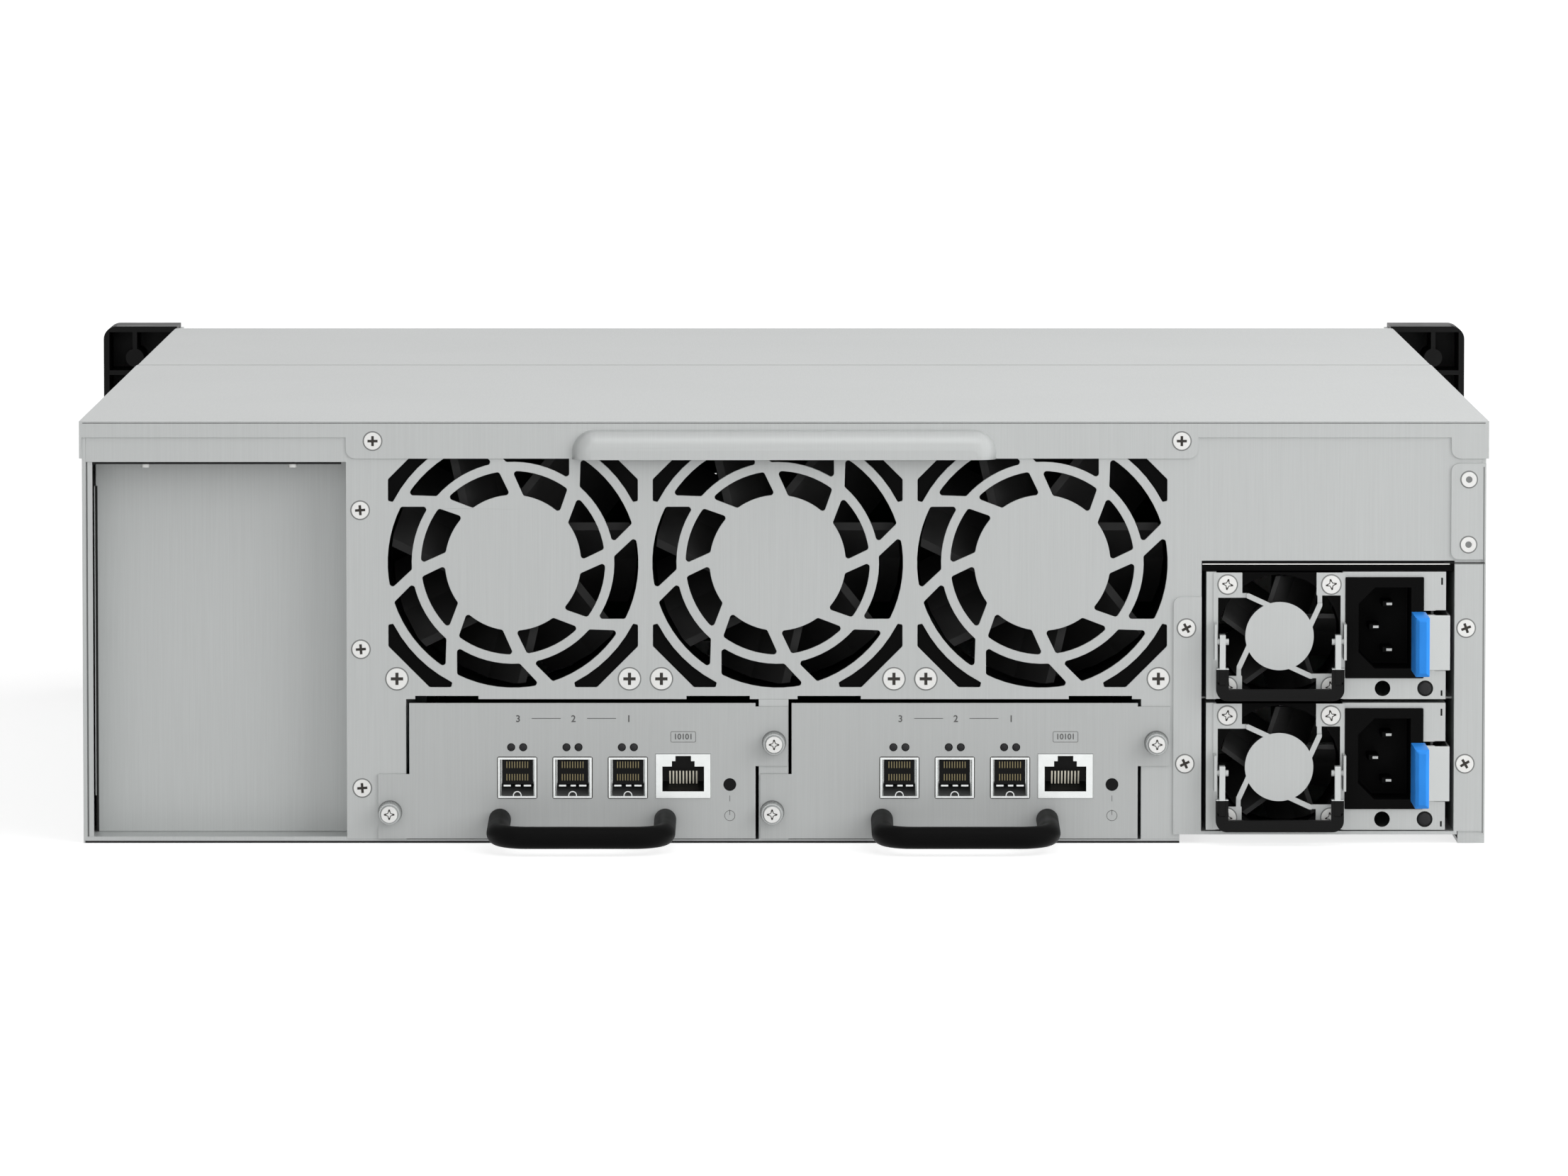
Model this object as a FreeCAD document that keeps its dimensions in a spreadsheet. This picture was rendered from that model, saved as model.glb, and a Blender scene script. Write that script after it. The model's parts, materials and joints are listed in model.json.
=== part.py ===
import FreeCAD
import Part
import Sketcher

import math
import os
import re

# A rack disk shelf, three units high, seen from its rear side.
# The rear face looks along -Y, the drive side along +Y, +X is to the right from the rear and +Z is up.
# The origin is under the middle of the case, on the plane that it stands on.

COLUMNS = 4
ROWS = 4
FANS = 3
PORTS = 3
FAN_BLADES = 7
PSU_FAN_BLADES = 5
GRIP_FACETS = 12
DUCT_FACETS = 28
BEND_STEPS = 4
CHORDS = 3
SPOKES = 8
MODULES = (1, 2)
# Where a guard spoke meets the hub, as shares of the hub's radius.
SPOKE_ROOTS = ((0.45, 0.88), (0.24, 0.95))
# How close an edge has to lie to a named spot to be chosen, in millimetres.
TOUCH = 0.001

SIZES = {
    # Sheets and clearances
    "sheet": 1.2,
    "cover_sheet": 0.8,
    "flange_sheet": 1.0,
    "cage_sheet": 1.0,
    "slide_gap": 0.3,
    "seat_gap": 0.1,
    "pin_gap": 0.05,
    "cut_margin": 2.0,
    # Side bay and its blank plate
    "bay_gap": 1.55,
    "bay_width": 78.2,
    "bay_depth": 23.0,
    "bay_return": 10.0,
    "header_height": 11.8,
    "header_return": 9.0,
    "stub_radius": 1.45,
    "stub_drop": 1.6,
    "stub_inset": 16.5,
    "stub_depth": 5.0,
    "floor_lip": 2.0,
    # Fan wall
    "fan_size": 80.0,
    "fan_gap": 1.2,
    "fan_margin": 11.2,
    "fan_margin_right": 8.9,
    "fan_lift": 3.1,
    "fan_depth": 38.0,
    "fan_headroom": 2.8,
    "fan_bore": 38.6,
    "fan_strut": 4.0,
    "fan_base_sheet": 4.0,
    "fan_bearing": 9.0,
    "fan_hub": 20.0,
    "fan_tip": 37.8,
    "fan_shaft": 1.5,
    "fan_face_gap": 3.0,
    "strut_root": 0.5,
    "hub_depth": 29.0,
    "blade_depth": 25.0,
    "blade_chord": 24.0,
    "blade_sheet": 2.4,
    "blade_camber": 2.6,
    # Swirled grille
    "grille_hub": 20.9,
    "slot_height": 7.35,
    "ring_width": 2.85,
    "corner_reach": 38.3,
    "corner_chamfer": 12.6,
    "spoke_width": 4.1,
    "spoke_start": 176.7,
    "spoke_sweep": 1.06,
    # Canisters
    "post_left": 18.3,
    "post_right": 18.5,
    "divider_width": 9.1,
    "face_gap": 1.0,
    "canister_width": 106.3,
    "canister_height": 41.8,
    "canister_headroom": 1.1,
    "canister_wall": 24.0,
    "canister_inset": 0.6,
    "canister_cage_length": 190.0,
    "relief_width": 19.4,
    "relief_height": 1.0,
    "relief_inset": 1.8,
    "tab_lower_width": 9.6,
    "tab_lower_height": 19.9,
    "tab_upper_width": 9.9,
    "tab_upper_height": 18.3,
    "tab_upper_drop": 1.1,
    "thumb_lower_x": 6.0,
    "thumb_lower_z": 8.1,
    "thumb_upper_x": 5.7,
    "thumb_upper_z": 29.6,
    "thumb_radius": 3.5,
    "thumb_length": 6.0,
    "thumb_cap": 2.5,
    "thumb_cap_length": 1.4,
    "thumb_shank": 1.5,
    "thumb_gap": 0.1,
    "thumb_reach": 6.0,
    "board_sheet": 1.6,
    "board_top": 12.55,
    "board_inset": 4.0,
    "pad_size": 6.0,
    "pad_inset": 9.0,
    "edge_connector_width": 60.0,
    "edge_connector_height": 9.0,
    "edge_connector_length": 18.0,
    "heat_sink_size": 38.0,
    "heat_sink_height": 12.0,
    "heat_sink_depth": 110.0,
    "port_pitch": 17.0,
    "port_first": 33.1,
    "port_width": 11.8,
    "port_height": 12.5,
    "port_length": 24.0,
    "port_shell": 0.6,
    "port_depth": 9.0,
    "port_proud": 0.5,
    "jack_left": 75.7,
    "jack_width": 16.8,
    "jack_height": 13.55,
    "jack_length": 20.0,
    "jack_mouth_width": 12.8,
    "jack_mouth_height": 7.7,
    "jack_mouth_lift": 2.05,
    "jack_key_width": 7.0,
    "jack_key_height": 1.65,
    "jack_catch_width": 4.8,
    "jack_catch_height": 1.6,
    "jack_depth": 13.0,
    "button_x": 98.4,
    "button_z": 16.7,
    "button_radius": 1.85,
    "button_gap": 0.12,
    "button_length": 6.0,
    "button_travel": 0.8,
    "switch_size": 7.0,
    "handle_radius": 3.4,
    "handle_span": 50.8,
    "handle_reach": 40.0,
    "handle_bend": 9.0,
    "handle_lift": 5.9,
    "handle_droop": 3.0,
    "handle_gap": 0.2,
    # Power supplies and their cage
    "psu_side": 8.35,
    "psu_inset": 1.5,
    "psu_latch_gap": 2.6,
    "psu_lift": 2.8,
    "psu_width": 73.5,
    "psu_height": 39.2,
    "psu_gap": 1.15,
    "psu_headroom": 3.4,
    "psu_overhead": 20.0,
    "psu_length": 185.0,
    "psu_sheet": 0.8,
    "psu_cage_tail": 20.0,
    "psu_hole_x": 54.15,
    "psu_hole_z": 3.3,
    "psu_hole": 2.4,
    "psu_flange_left": 8.6,
    "psu_flange_height": 72.2,
    "psu_ledge": 4.0,
    "psu_ledge_sheet": 0.55,
    "psu_ledge_set_back": 12.0,
    "notch_depth": 60.0,
    "notch_inset": 6.6,
    "foot_width": 8.25,
    "psu_fan_size": 38.8,
    "psu_fan_depth": 28.0,
    "psu_fan_x": 22.35,
    "psu_fan_bore": 18.7,
    "psu_fan_strut": 2.4,
    "psu_fan_base_sheet": 3.0,
    "psu_fan_bearing": 5.0,
    "psu_fan_hub": 10.2,
    "psu_fan_tip": 18.2,
    "psu_fan_shaft": 1.0,
    "psu_fan_face_gap": 1.0,
    "psu_hub_depth": 22.0,
    "psu_blade_depth": 19.0,
    "psu_blade_chord": 13.0,
    "psu_blade_sheet": 1.4,
    "psu_blade_camber": 1.6,
    "guard_sheet": 0.8,
    "guard_hub": 10.5,
    "guard_half_width": 20.2,
    "guard_half_height": 19.4,
    "guard_strip": 1.4,
    "guard_tab_width": 8.8,
    "guard_tab_height": 7.0,
    "guard_spoke": 1.4,
    "guard_rise": 1.6,
    "guard_step_x": 9.3,
    "bail_half_width": 19.6,
    "bail_height": 10.0,
    "bail_bar": 3.5,
    "bail_leg": 3.8,
    "bail_thickness": 3.6,
    "bail_corner": 3.4,
    "bail_drop": 18.1,
    "bail_stand_off": 5.6,
    "bail_strip": 1.8,
    "bail_strip_sheet": 4.0,
    "bail_eye": 2.2,
    "bail_pin": 1.0,
    "bail_ear_sheet": 0.8,
    "bail_ear_height": 11.0,
    "inlet_x": 42.6,
    "inlet_z": 6.5,
    "inlet_width": 24.1,
    "inlet_height": 31.1,
    "inlet_flange": 1.5,
    "inlet_rim": 2.0,
    "inlet_length": 22.0,
    "inlet_mouth_x": 4.1,
    "inlet_mouth_z": 3.1,
    "inlet_mouth_width": 16.0,
    "inlet_mouth_height": 24.8,
    "inlet_mouth_chamfer": 5.0,
    "inlet_mouth_depth": 17.0,
    "inlet_pin_width": 3.2,
    "inlet_pin_height": 1.8,
    "inlet_pin_reach": 12.0,
    "inlet_pin_pitch": 7.05,
    "inlet_pin_offset": 4.1,
    "latch_x": 62.8,
    "latch_z": 9.0,
    "latch_width": 4.3,
    "latch_height": 18.1,
    "latch_reach": 24.0,
    "latch_chamfer": 1.1,
    "latch_arm_drop": 1.1,
    "latch_slot": 1.25,
    "latch_arm_sheet": 0.7,
    "latch_arm_length": 60.0,
    "latch_arm_gap": 0.5,
    "latch_travel": 2.5,
    # Depth of the case
    "rear_zone": 332.0,
    "backplane_sheet": 2.4,
    "connector_length": 9.6,
    "tray_length": 174.0,
    "rear_cover_length": 294.0,
    "cover_seam": 0.4,
    # Covers
    "cover_lip": 11.5,
    "flange_short": 5.0,
    "flange_tall": 11.5,
    "flange_end_gap": 1.1,
    "corner_tab": 10.7,
    "flange_round": 3.0,
    "tab_round": 2.4,
    "rivet_tab_height": 29.5,
    "rivet_tab_gap": 1.5,
    "pull_width": 130.0,
    "pull_height": 8.8,
    "pull_depth": 7.5,
    "pull_corner": 7.0,
    "pull_round": 6.0,
    # Drive trays, their cage and the backplane
    "tray_width": 104.0,
    "tray_height": 29.9,
    "tray_sheet": 1.0,
    "tray_wall": 16.0,
    "tray_rim": 11.0,
    "bezel_depth": 24.0,
    "bezel_frame": 3.0,
    "bezel_recess": 4.0,
    "bezel_bar": 3.0,
    "lever_width": 70.0,
    "lever_gap": 0.4,
    "ledge_width": 4.0,
    "cage_headroom": 0.4,
    "backplane_gap": 2.0,
    "connector_width": 42.0,
    "connector_height": 7.0,
    "connector_lift": 5.0,
    "vent_width": 60.0,
    "vent_height": 9.0,
    # Rack ears and side holes
    "ear_width": 26.05,
    "ear_depth": 26.0,
    "ear_lift": 0.4,
    "ear_proud": 0.6,
    "ear_rim": 2.0,
    "ear_front": 2.4,
    "ear_round": 4.5,
    "ear_rib": 1.6,
    "ear_rib_drop": 15.6,
    "ear_boss": 3.2,
    "ear_boss_drop": 11.1,
    "ear_slot_offset": 8.75,
    "ear_slot_pitch": 57.15,
    "ear_slot_width": 6.8,
    "ear_slot_length": 10.0,
    "wall_front_gap": 2.0,
    "rail_hole": 2.25,
    "rail_hole_pitch": 200.0,
    "rail_hole_height": 65.0,
}

# Values that follow from the driving sizes. The case is as wide, tall and deep as its rows need.
FOLLOWING = {
    "canister_cell": "canister_width + 2 * face_gap",
    "canister_pitch": "canister_cell + divider_width",
    "canister_row": "post_left + 2 * canister_cell + divider_width + post_right",
    "fan_pitch": "fan_size + fan_gap",
    "fan_row": f"fan_margin + {FANS} * fan_size + {FANS - 1} * fan_gap + fan_margin_right",
    "middle_width": "max(canister_row; fan_row)",
    "psu_bay_width": "psu_inset + psu_width + psu_latch_gap",
    "rear_row": "bay_gap + bay_width + middle_width + psu_bay_width + psu_side",
    "column_pitch": "tray_width + 2 * slide_gap + cage_sheet",
    "row_pitch": "tray_height + 2 * slide_gap + cage_sheet",
    "cage_width": f"{COLUMNS} * column_pitch + cage_sheet",
    "inner_width": "max(rear_row; cage_width + 2 * slide_gap)",
    "half_inner": "inner_width / 2",
    "half_width": "half_inner + sheet",
    "bay_left_x": "bay_gap - half_inner",
    "bay_right_x": "bay_left_x + bay_width",
    "psu_right_x": "half_inner - psu_side",
    "psu_left_x": "psu_right_x - psu_bay_width",
    "canister_x": "bay_right_x + post_left + face_gap",
    "canister_right_x": "canister_x + canister_pitch + canister_width",
    "fan_x": "bay_right_x + fan_margin + fan_size / 2",
    "notch_left_x": "psu_left_x - notch_inset",
    "canister_z": "sheet + slide_gap",
    "canister_top": "canister_z + canister_height",
    "canister_open_top": "canister_top + canister_headroom",
    "fan_z": "canister_top + fan_lift + fan_size / 2",
    "rear_stack": "fan_z + fan_size / 2 + fan_headroom",
    "cage_top": f"sheet + cage_sheet + {ROWS} * row_pitch",
    "psu_floor": "psu_lift + flange_sheet",
    "psu_z": "psu_floor + slide_gap",
    "psu_pitch": "psu_height + psu_gap",
    "psu_top": "psu_z + psu_pitch + psu_height + psu_headroom",
    "inner_top": "max(rear_stack; cage_top + cage_headroom; psu_top + psu_overhead)",
    "body_height": "inner_top + cover_sheet",
    "header_z": "inner_top - header_height",
    "flange_low": "body_height - flange_tall",
    "tray_zone": "connector_length + tray_length",
    "body_depth": "rear_zone + backplane_sheet + tray_zone",
    "y_back": "-body_depth / 2",
    "y_rack": "body_depth / 2",
    "y_front": "y_rack + ear_depth - wall_front_gap",
    "y_backplane": "y_back + rear_zone",
    "y_tray": "y_rack - tray_length",
    "canister_length": "rear_zone - edge_connector_length",
    "rivet_tab_top": "flange_low - rivet_tab_gap",
    "thumb_hole": "thumb_shank + thumb_gap",
    "bail_pivot_z": "bail_drop - psu_fan_size / 2",
    "psu_fan_z": "psu_height / 2",
}

X_AXIS = FreeCAD.Vector(1, 0, 0)
Y_AXIS = FreeCAD.Vector(0, 1, 0)
Z_AXIS = FreeCAD.Vector(0, 0, 1)
ALONG = {
    "x": FreeCAD.Rotation(Y_AXIS, 90),
    "y": FreeCAD.Rotation(X_AXIS, -90),
    "z": FreeCAD.Rotation(),
}

doc = FreeCAD.newDocument("disk_shelf")
sizes = doc.addObject("Spreadsheet::Sheet", "Sizes")
nodes = []


def fill_sheet():
    """Write each driving size, then each following value, into its own named cell."""
    rows = list(SIZES.items()) + [(name, f"={formula}") for name, formula in FOLLOWING.items()]
    for row, (name, content) in enumerate(rows, start=1):
        sizes.set(f"A{row}", name)
        sizes.set(f"B{row}", str(content))
        sizes.setAlias(f"B{row}", name)
    doc.recompute()


def linked(formula):
    """The formula with each size's name pointing at its cell."""
    def cell(match):
        word = match.group(0)
        return f"Sizes.{word}" if word in SIZES or word in FOLLOWING else word
    return re.sub(r"[a-z_][a-z_0-9]*", cell, str(formula))


def bind(thing, field, formula):
    thing.setExpression(field, linked(formula))


def value(name):
    return float(sizes.get(name))


def place(thing, x="0", y="0", z="0"):
    """Tie where a piece stands to the sheet."""
    for axis, formula in zip("xyz", (x, y, z)):
        bind(thing, f"Placement.Base.{axis}", formula)
    return thing


def block(name, x, y, z):
    """A box from a low to a high formula along each axis."""
    box = doc.addObject("Part::Box", name)
    for field, axis, (low, high) in zip(("Length", "Width", "Height"), "xyz", (x, y, z)):
        bind(box, field, f"({high}) - ({low})")
        bind(box, f"Placement.Base.{axis}", low)
    return box


def rod(name, along, radius, start, length):
    """A round rod from the middle of its low end."""
    cylinder = doc.addObject("Part::Cylinder", name)
    cylinder.Placement.Rotation = ALONG[along]
    bind(cylinder, "Radius", radius)
    bind(cylinder, "Height", length)
    return place(cylinder, *start)


def group(name, pieces):
    """Separate solids held as one object."""
    compound = doc.addObject("Part::Compound", name)
    compound.Links = list(pieces)
    return compound


def fuse(name, pieces):
    union = doc.addObject("Part::MultiFuse", name)
    union.Shapes = list(pieces)
    union.Refine = True
    return union


def cut(name, base, tools):
    difference = doc.addObject("Part::Cut", name)
    difference.Base = base
    difference.Tool = tools[0] if len(tools) == 1 else group(f"{name}_tools", tools)
    difference.Refine = True
    return difference


def formed(name, shape):
    """A shape that only Part's own functions can make."""
    feature = doc.addObject("Part::Feature", name)
    feature.Shape = shape
    return feature


def node(label, piece):
    """Register a finished sub-part under the name of its file."""
    piece.Label = label
    nodes.append(piece)
    return piece


def new_body(name):
    return doc.addObject("PartDesign::Body", name)


def sketch_on(body, role, name, lift="0"):
    """A sketch on one of the body's own origin planes, lifted along the plane's normal."""
    plane = next(item for item in body.Origin.OriginFeatures if item.Role == role)
    sketch = body.newObject("Sketcher::SketchObject", name)
    sketch.AttachmentSupport = [(plane, "")]
    sketch.MapMode = "FlatFace"
    bind(sketch, "AttachmentOffset.Base.z", lift)
    return sketch


def draw_circle(sketch, radius, x="0", y="0"):
    """A circle whose radius and centre are tied to the sheet."""
    circle = sketch.addGeometry(Part.Circle())
    limits = [("Radius", (circle,), radius)]
    if (x, y) == ("0", "0"):
        sketch.addConstraint(Sketcher.Constraint("Coincident", circle, 3, -1, 1))
    else:
        limits += [("DistanceX", (-1, 1, circle, 3), x), ("DistanceY", (-1, 1, circle, 3), y)]
    for kind, places, formula in limits:
        tied = sketch.addConstraint(Sketcher.Constraint(kind, *places, 1.0))
        bind(sketch, f"Constraints[{tied}]", formula)


def draw_outline(sketch, corners):
    """A closed outline of straight edges whose corners are tied to the sheet."""
    count = len(corners)
    at = [FreeCAD.Vector(math.cos(2 * math.pi * i / count), math.sin(2 * math.pi * i / count), 0)
          for i in range(count)]
    edges = [sketch.addGeometry(Part.LineSegment(at[i], at[(i + 1) % count])) for i in range(count)]
    for i, edge in enumerate(edges):
        sketch.addConstraint(Sketcher.Constraint("Coincident", edge, 2, edges[(i + 1) % count], 1))
    for edge, corner in zip(edges, corners):
        for kind, formula in zip(("DistanceX", "DistanceY"), corner):
            tied = sketch.addConstraint(Sketcher.Constraint(kind, -1, 1, edge, 1, 0.0))
            bind(sketch, f"Constraints[{tied}]", formula)


def draw_polygon(sketch, radius, count, around=False):
    """A regular outline inside a circle of the radius, or around it."""
    share = 1 / math.cos(math.pi / count) if around else 1
    turns = [2 * math.pi * step / count for step in range(count)]
    corners = [(share * math.cos(turn), share * math.sin(turn)) for turn in turns]
    draw_outline(sketch, [(f"{radius} * {across:.6f}", f"{radius} * {up:.6f}") for across, up in corners])


def pad(body, sketch, name, length, inward=True):
    """Raise a sketch; inward is against its normal, towards +Y for the XZ plane."""
    feature = body.newObject("PartDesign::Pad", name)
    feature.Profile = sketch
    feature.Reversed = inward
    bind(feature, "Length", length)
    return feature


def pocket(body, sketch, name, length, inward=True):
    """Sink a sketch drawn on the XZ plane; inward is towards +Y."""
    feature = body.newObject("PartDesign::Pocket", name)
    feature.Profile = sketch
    feature.Reversed = not inward
    bind(feature, "Length", length)
    return feature


def polar(body, sketch, name, feature, count):
    """Repeat a feature about the normal of a sketch."""
    pattern = body.newObject("PartDesign::PolarPattern", name)
    pattern.Originals = [feature]
    pattern.Axis = (sketch, ["N_Axis"])
    pattern.Angle = 360
    pattern.Occurrences = count
    body.Tip = pattern
    return pattern


def prism(name, corners, low, high):
    """A straight-edged outline in the XZ plane, raised along +Y."""
    start = value_of(low)
    points = [FreeCAD.Vector(value_of(x), start, value_of(z)) for x, z in corners]
    face = Part.Face(Part.makePolygon(points + points[:1]))
    return formed(name, face.extrude(Y_AXIS * (value_of(high) - start)))


def value_of(formula):
    """A formula's number, read from the sheet."""
    probe = FreeCAD.Units.parseQuantity(
        re.sub(r"[a-z_][a-z_0-9]*", lambda word: f"({value(word.group(0))!r})", str(formula)))
    return float(probe)


def rounded_at(name, base, spots, radius):
    """Round the edges along Y that pass through spots of the XZ plane."""
    doc.recompute()
    places = [(value_of(x), value_of(z)) for x, z in spots]
    chosen = []
    for number, edge in enumerate(base.Shape.Edges, start=1):
        at = edge.CenterOfMass
        near = any(math.hypot(at.x - x, at.z - z) < TOUCH for x, z in places)
        if near and edge.BoundBox.YLength > max(edge.BoundBox.XLength, edge.BoundBox.ZLength):
            chosen.append(number)
    fillet = doc.addObject("Part::Fillet", name)
    fillet.Base = base
    fillet.Edges = [(number, value(radius), value(radius)) for number in chosen]
    return fillet


def chassis_base():
    """Floor and side walls in one folded sheet, notched under the power supplies."""
    depth = ("y_back", "y_front")
    pieces = [block("floor", ("-half_width", "half_width"), depth, ("0", "sheet"))]
    pieces.append(block("left_wall", ("-half_width", "-half_inner"), depth, ("0", "inner_top")))
    pieces.append(block("right_wall", ("half_inner", "half_width"), depth, ("0", "inner_top")))
    tab_left = "half_width - corner_tab"
    tab_low = "rivet_tab_top - rivet_tab_height"
    tab = block("rivet_tab_sheet", (tab_left, "half_width"), ("y_back - flange_sheet", "y_back"),
                (tab_low, "rivet_tab_top"))
    tab_corners = ((tab_left, tab_low), (tab_left, "rivet_tab_top"))
    pieces.append(rounded_at("rivet_tab", tab, tab_corners, "tab_round"))
    pieces.append(block("foot", ("half_width - foot_width", "half_width"),
                        ("y_back", "y_back + sheet"), ("0", "psu_floor")))
    pieces.append(block("floor_lip", ("-half_width", "bay_right_x"),
                        ("y_back", "y_back + sheet"), ("0", "floor_lip")))
    tools = [block("psu_notch", ("notch_left_x", "half_width - foot_width"),
                   ("y_back - cut_margin", "y_back + notch_depth"), ("-cut_margin", "sheet + cut_margin"))]
    for end in ("-", "+"):
        tools.append(rod(f"rail_hole_{len(tools)}", "x", "rail_hole",
                         ("-half_width - cut_margin", f"{end}rail_hole_pitch / 2", "rail_hole_height"),
                         "2 * (half_width + cut_margin)"))
    node("chassis_base", cut("chassis_base", fuse("chassis_sheets", pieces), tools))


def polar_point(radius, degrees):
    angle = math.radians(degrees)
    return FreeCAD.Vector(radius * math.cos(angle), 0, radius * math.sin(angle))


def chords(radius, start, end):
    """Points along an arc, joined by straight chords."""
    return [polar_point(radius, start + (end - start) * step / CHORDS) for step in range(CHORDS + 1)]


def swirl_cell(inner, outer, number):
    """One opening between two swept spokes, from an inner to an outer radius."""
    half_spoke = value("spoke_width") / 2
    turn = 360 / SPOKES

    def side(radius, spoke, sign):
        sweep = value("spoke_sweep") * (radius - value("grille_hub"))
        half_angle = math.degrees(math.asin(half_spoke / radius))
        return value("spoke_start") + turn * spoke + sweep + sign * half_angle

    points = chords(outer, side(outer, number, 1), side(outer, number + 1, -1))
    points += chords(inner, side(inner, number + 1, -1), side(inner, number, 1))
    return Part.Face(Part.makePolygon(points + points[:1]))


def corner_cell(ring, quarter):
    """The opening between the outer ring and a chamfered corner of the fan square."""
    reach = value("corner_reach")
    chamfered = reach - value("corner_chamfer")
    start = math.degrees(math.acos(reach / ring))
    points = [FreeCAD.Vector(reach, 0, chamfered), FreeCAD.Vector(chamfered, 0, reach)]
    points += chords(ring, 90 - start, start)
    face = Part.Face(Part.makePolygon(points + points[:1]))
    face.rotate(FreeCAD.Vector(), Y_AXIS, 90 * quarter)
    return face


def grille_cells():
    """All openings of the three swirled grilles, as solids that cut through the rear panel."""
    rows = []
    radius = value("grille_hub")
    for _ in range(2):
        rows.append((radius, radius + value("slot_height")))
        radius = rows[-1][1] + value("ring_width")
    cells = [swirl_cell(*row, number) for row in rows for number in range(SPOKES)]
    cells += [corner_cell(radius, quarter) for quarter in range(4)]
    thick = value("sheet") + 2 * value("cut_margin")
    solids = []
    for fan in range(FANS):
        middle = FreeCAD.Vector(value("fan_x") + fan * value("fan_pitch"),
                                value("y_back") - value("cut_margin"), value("fan_z"))
        for cell in cells:
            solid = cell.extrude(Y_AXIS * thick)
            solid.translate(middle)
            solids.append(solid)
    return formed("grille_cells", Part.makeCompound(solids))


def rear_panel():
    """The fan wall with its header over the side bay and the cut-outs for canisters and supplies."""
    through = ("y_back - cut_margin", "y_back + sheet + cut_margin")
    plate = block("rear_plate", ("-half_inner", "half_inner"), ("y_back", "y_back + sheet"),
                  ("sheet", "inner_top"))
    tools = [
        block("bay_opening", ("-half_inner - cut_margin", "bay_right_x"), through, ("0", "header_z")),
        block("canister_opening", ("canister_x - face_gap", "canister_right_x + face_gap"), through,
              ("0", "canister_open_top")),
        block("psu_opening", ("psu_left_x", "psu_right_x"), through, ("0", "psu_top")),
        block("psu_underside", ("notch_left_x", "half_inner + cut_margin"), through, ("0", "psu_floor")),
        grille_cells(),
    ]
    for number in MODULES:
        left = f"canister_x + {number - 1} * canister_pitch + relief_inset"
        right = f"canister_x + {number - 1} * canister_pitch + canister_width - relief_inset"
        for start in (left, f"{right} - relief_width"):
            tools.append(block(f"relief_{len(tools)}", (start, f"{start} + relief_width"), through,
                               ("canister_top", "canister_open_top + relief_height")))
    for number, (x, z) in enumerate((thumb_place(1, "lower"), thumb_place(2, "upper"))):
        tools.append(rod(f"panel_thumb_{number}", "y", "thumb_hole", (x, "y_back - cut_margin", z),
                         "sheet + 2 * cut_margin"))
    wall = cut("fan_wall", plate, tools)
    header = block("header_return", ("-half_inner", "bay_right_x"),
                   ("y_back", "y_back + header_return"), ("header_z", "header_z + sheet"))
    stubs = []
    for number, x in enumerate(("bay_left_x + stub_inset", "bay_right_x - stub_inset")):
        stubs.append(rod(f"stub_{number}", "z", "stub_radius",
                         (x, "y_back + stub_depth", "header_z - stub_drop"), "stub_drop + sheet / 2"))
    node("rear_panel", fuse("rear_panel", [wall, header, *stubs]))


def pull_form(name, inset):
    """The rounded bulge of the cover's pull lip, or its hollow when inset by the sheet."""
    width = value("pull_width") - 2 * inset
    height = value("pull_height") - inset
    reach = value("pull_depth") - inset
    low = value("flange_low")
    back = value("y_back")
    form = Part.makeBox(width, reach, height, FreeCAD.Vector(-width / 2, back - reach, low))
    upper = [edge for edge in form.Edges if edge.CenterOfMass.z > low + height / 2]
    tall = [edge for edge in upper if abs(edge.tangentAt(edge.FirstParameter).y) > 1 - TOUCH]
    form = form.makeFillet(value("pull_corner") - inset, tall)
    rim = [edge for edge in form.Edges
           if edge.BoundBox.YMax < back - reach / 2 and edge.BoundBox.ZMax > low + height / 4]
    return formed(name, form.makeFillet(value("pull_round") - inset, rim))


def rear_top_cover():
    """The slid-on cover with side lips, a stepped rear flange and a formed pull lip."""
    outer = "half_width + cover_sheet"
    rear = "y_back - cover_sheet"
    end = "y_back + rear_cover_length"
    flange = (rear, "y_back")
    pieces = [block("rear_cover_top", (f"-({outer})", outer), (rear, end), ("inner_top", "body_height"))]
    for number, x in enumerate(((f"-({outer})", "-half_width"), ("half_width", outer))):
        pieces.append(block(f"rear_cover_lip_{number}", x, (rear, end),
                            ("body_height - cover_lip", "body_height")))
    pieces.append(block("flange_short", ("-half_width", "half_width"), flange,
                        ("body_height - flange_short", "body_height")))
    ends = ("bay_right_x", "psu_left_x - flange_end_gap")
    tall = block("flange_tall_sheet", ends, flange, ("flange_low", "body_height"))
    lower_corners = [(end_x, "flange_low") for end_x in ends]
    pieces.append(rounded_at("flange_tall", tall, lower_corners, "flange_round"))
    corner_x = "half_width - corner_tab"
    corner = block("flange_corner_sheet", (corner_x, "half_width"), flange, ("flange_low", "body_height"))
    pieces.append(rounded_at("flange_corner", corner, [(corner_x, "flange_low")], "flange_round"))
    pieces.append(pull_form("pull_bulge", 0))
    tools = [pull_form("pull_hollow", value("cover_sheet"))]
    node("rear_top_cover", cut("rear_top_cover", fuse("rear_cover_sheets", pieces), tools))


def front_top_cover():
    """The fixed cover over the drive cage, a folded sheet with side lips."""
    outer = "half_width + cover_sheet"
    depth = ("y_back + rear_cover_length + cover_seam", "y_rack")
    pieces = [block("front_cover_top", (f"-({outer})", outer), depth, ("inner_top", "body_height"))]
    for number, x in enumerate(((f"-({outer})", "-half_width"), ("half_width", outer))):
        pieces.append(block(f"front_cover_lip_{number}", x, depth,
                            ("body_height - cover_lip", "body_height")))
    node("front_top_cover", fuse("front_top_cover", pieces))


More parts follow.
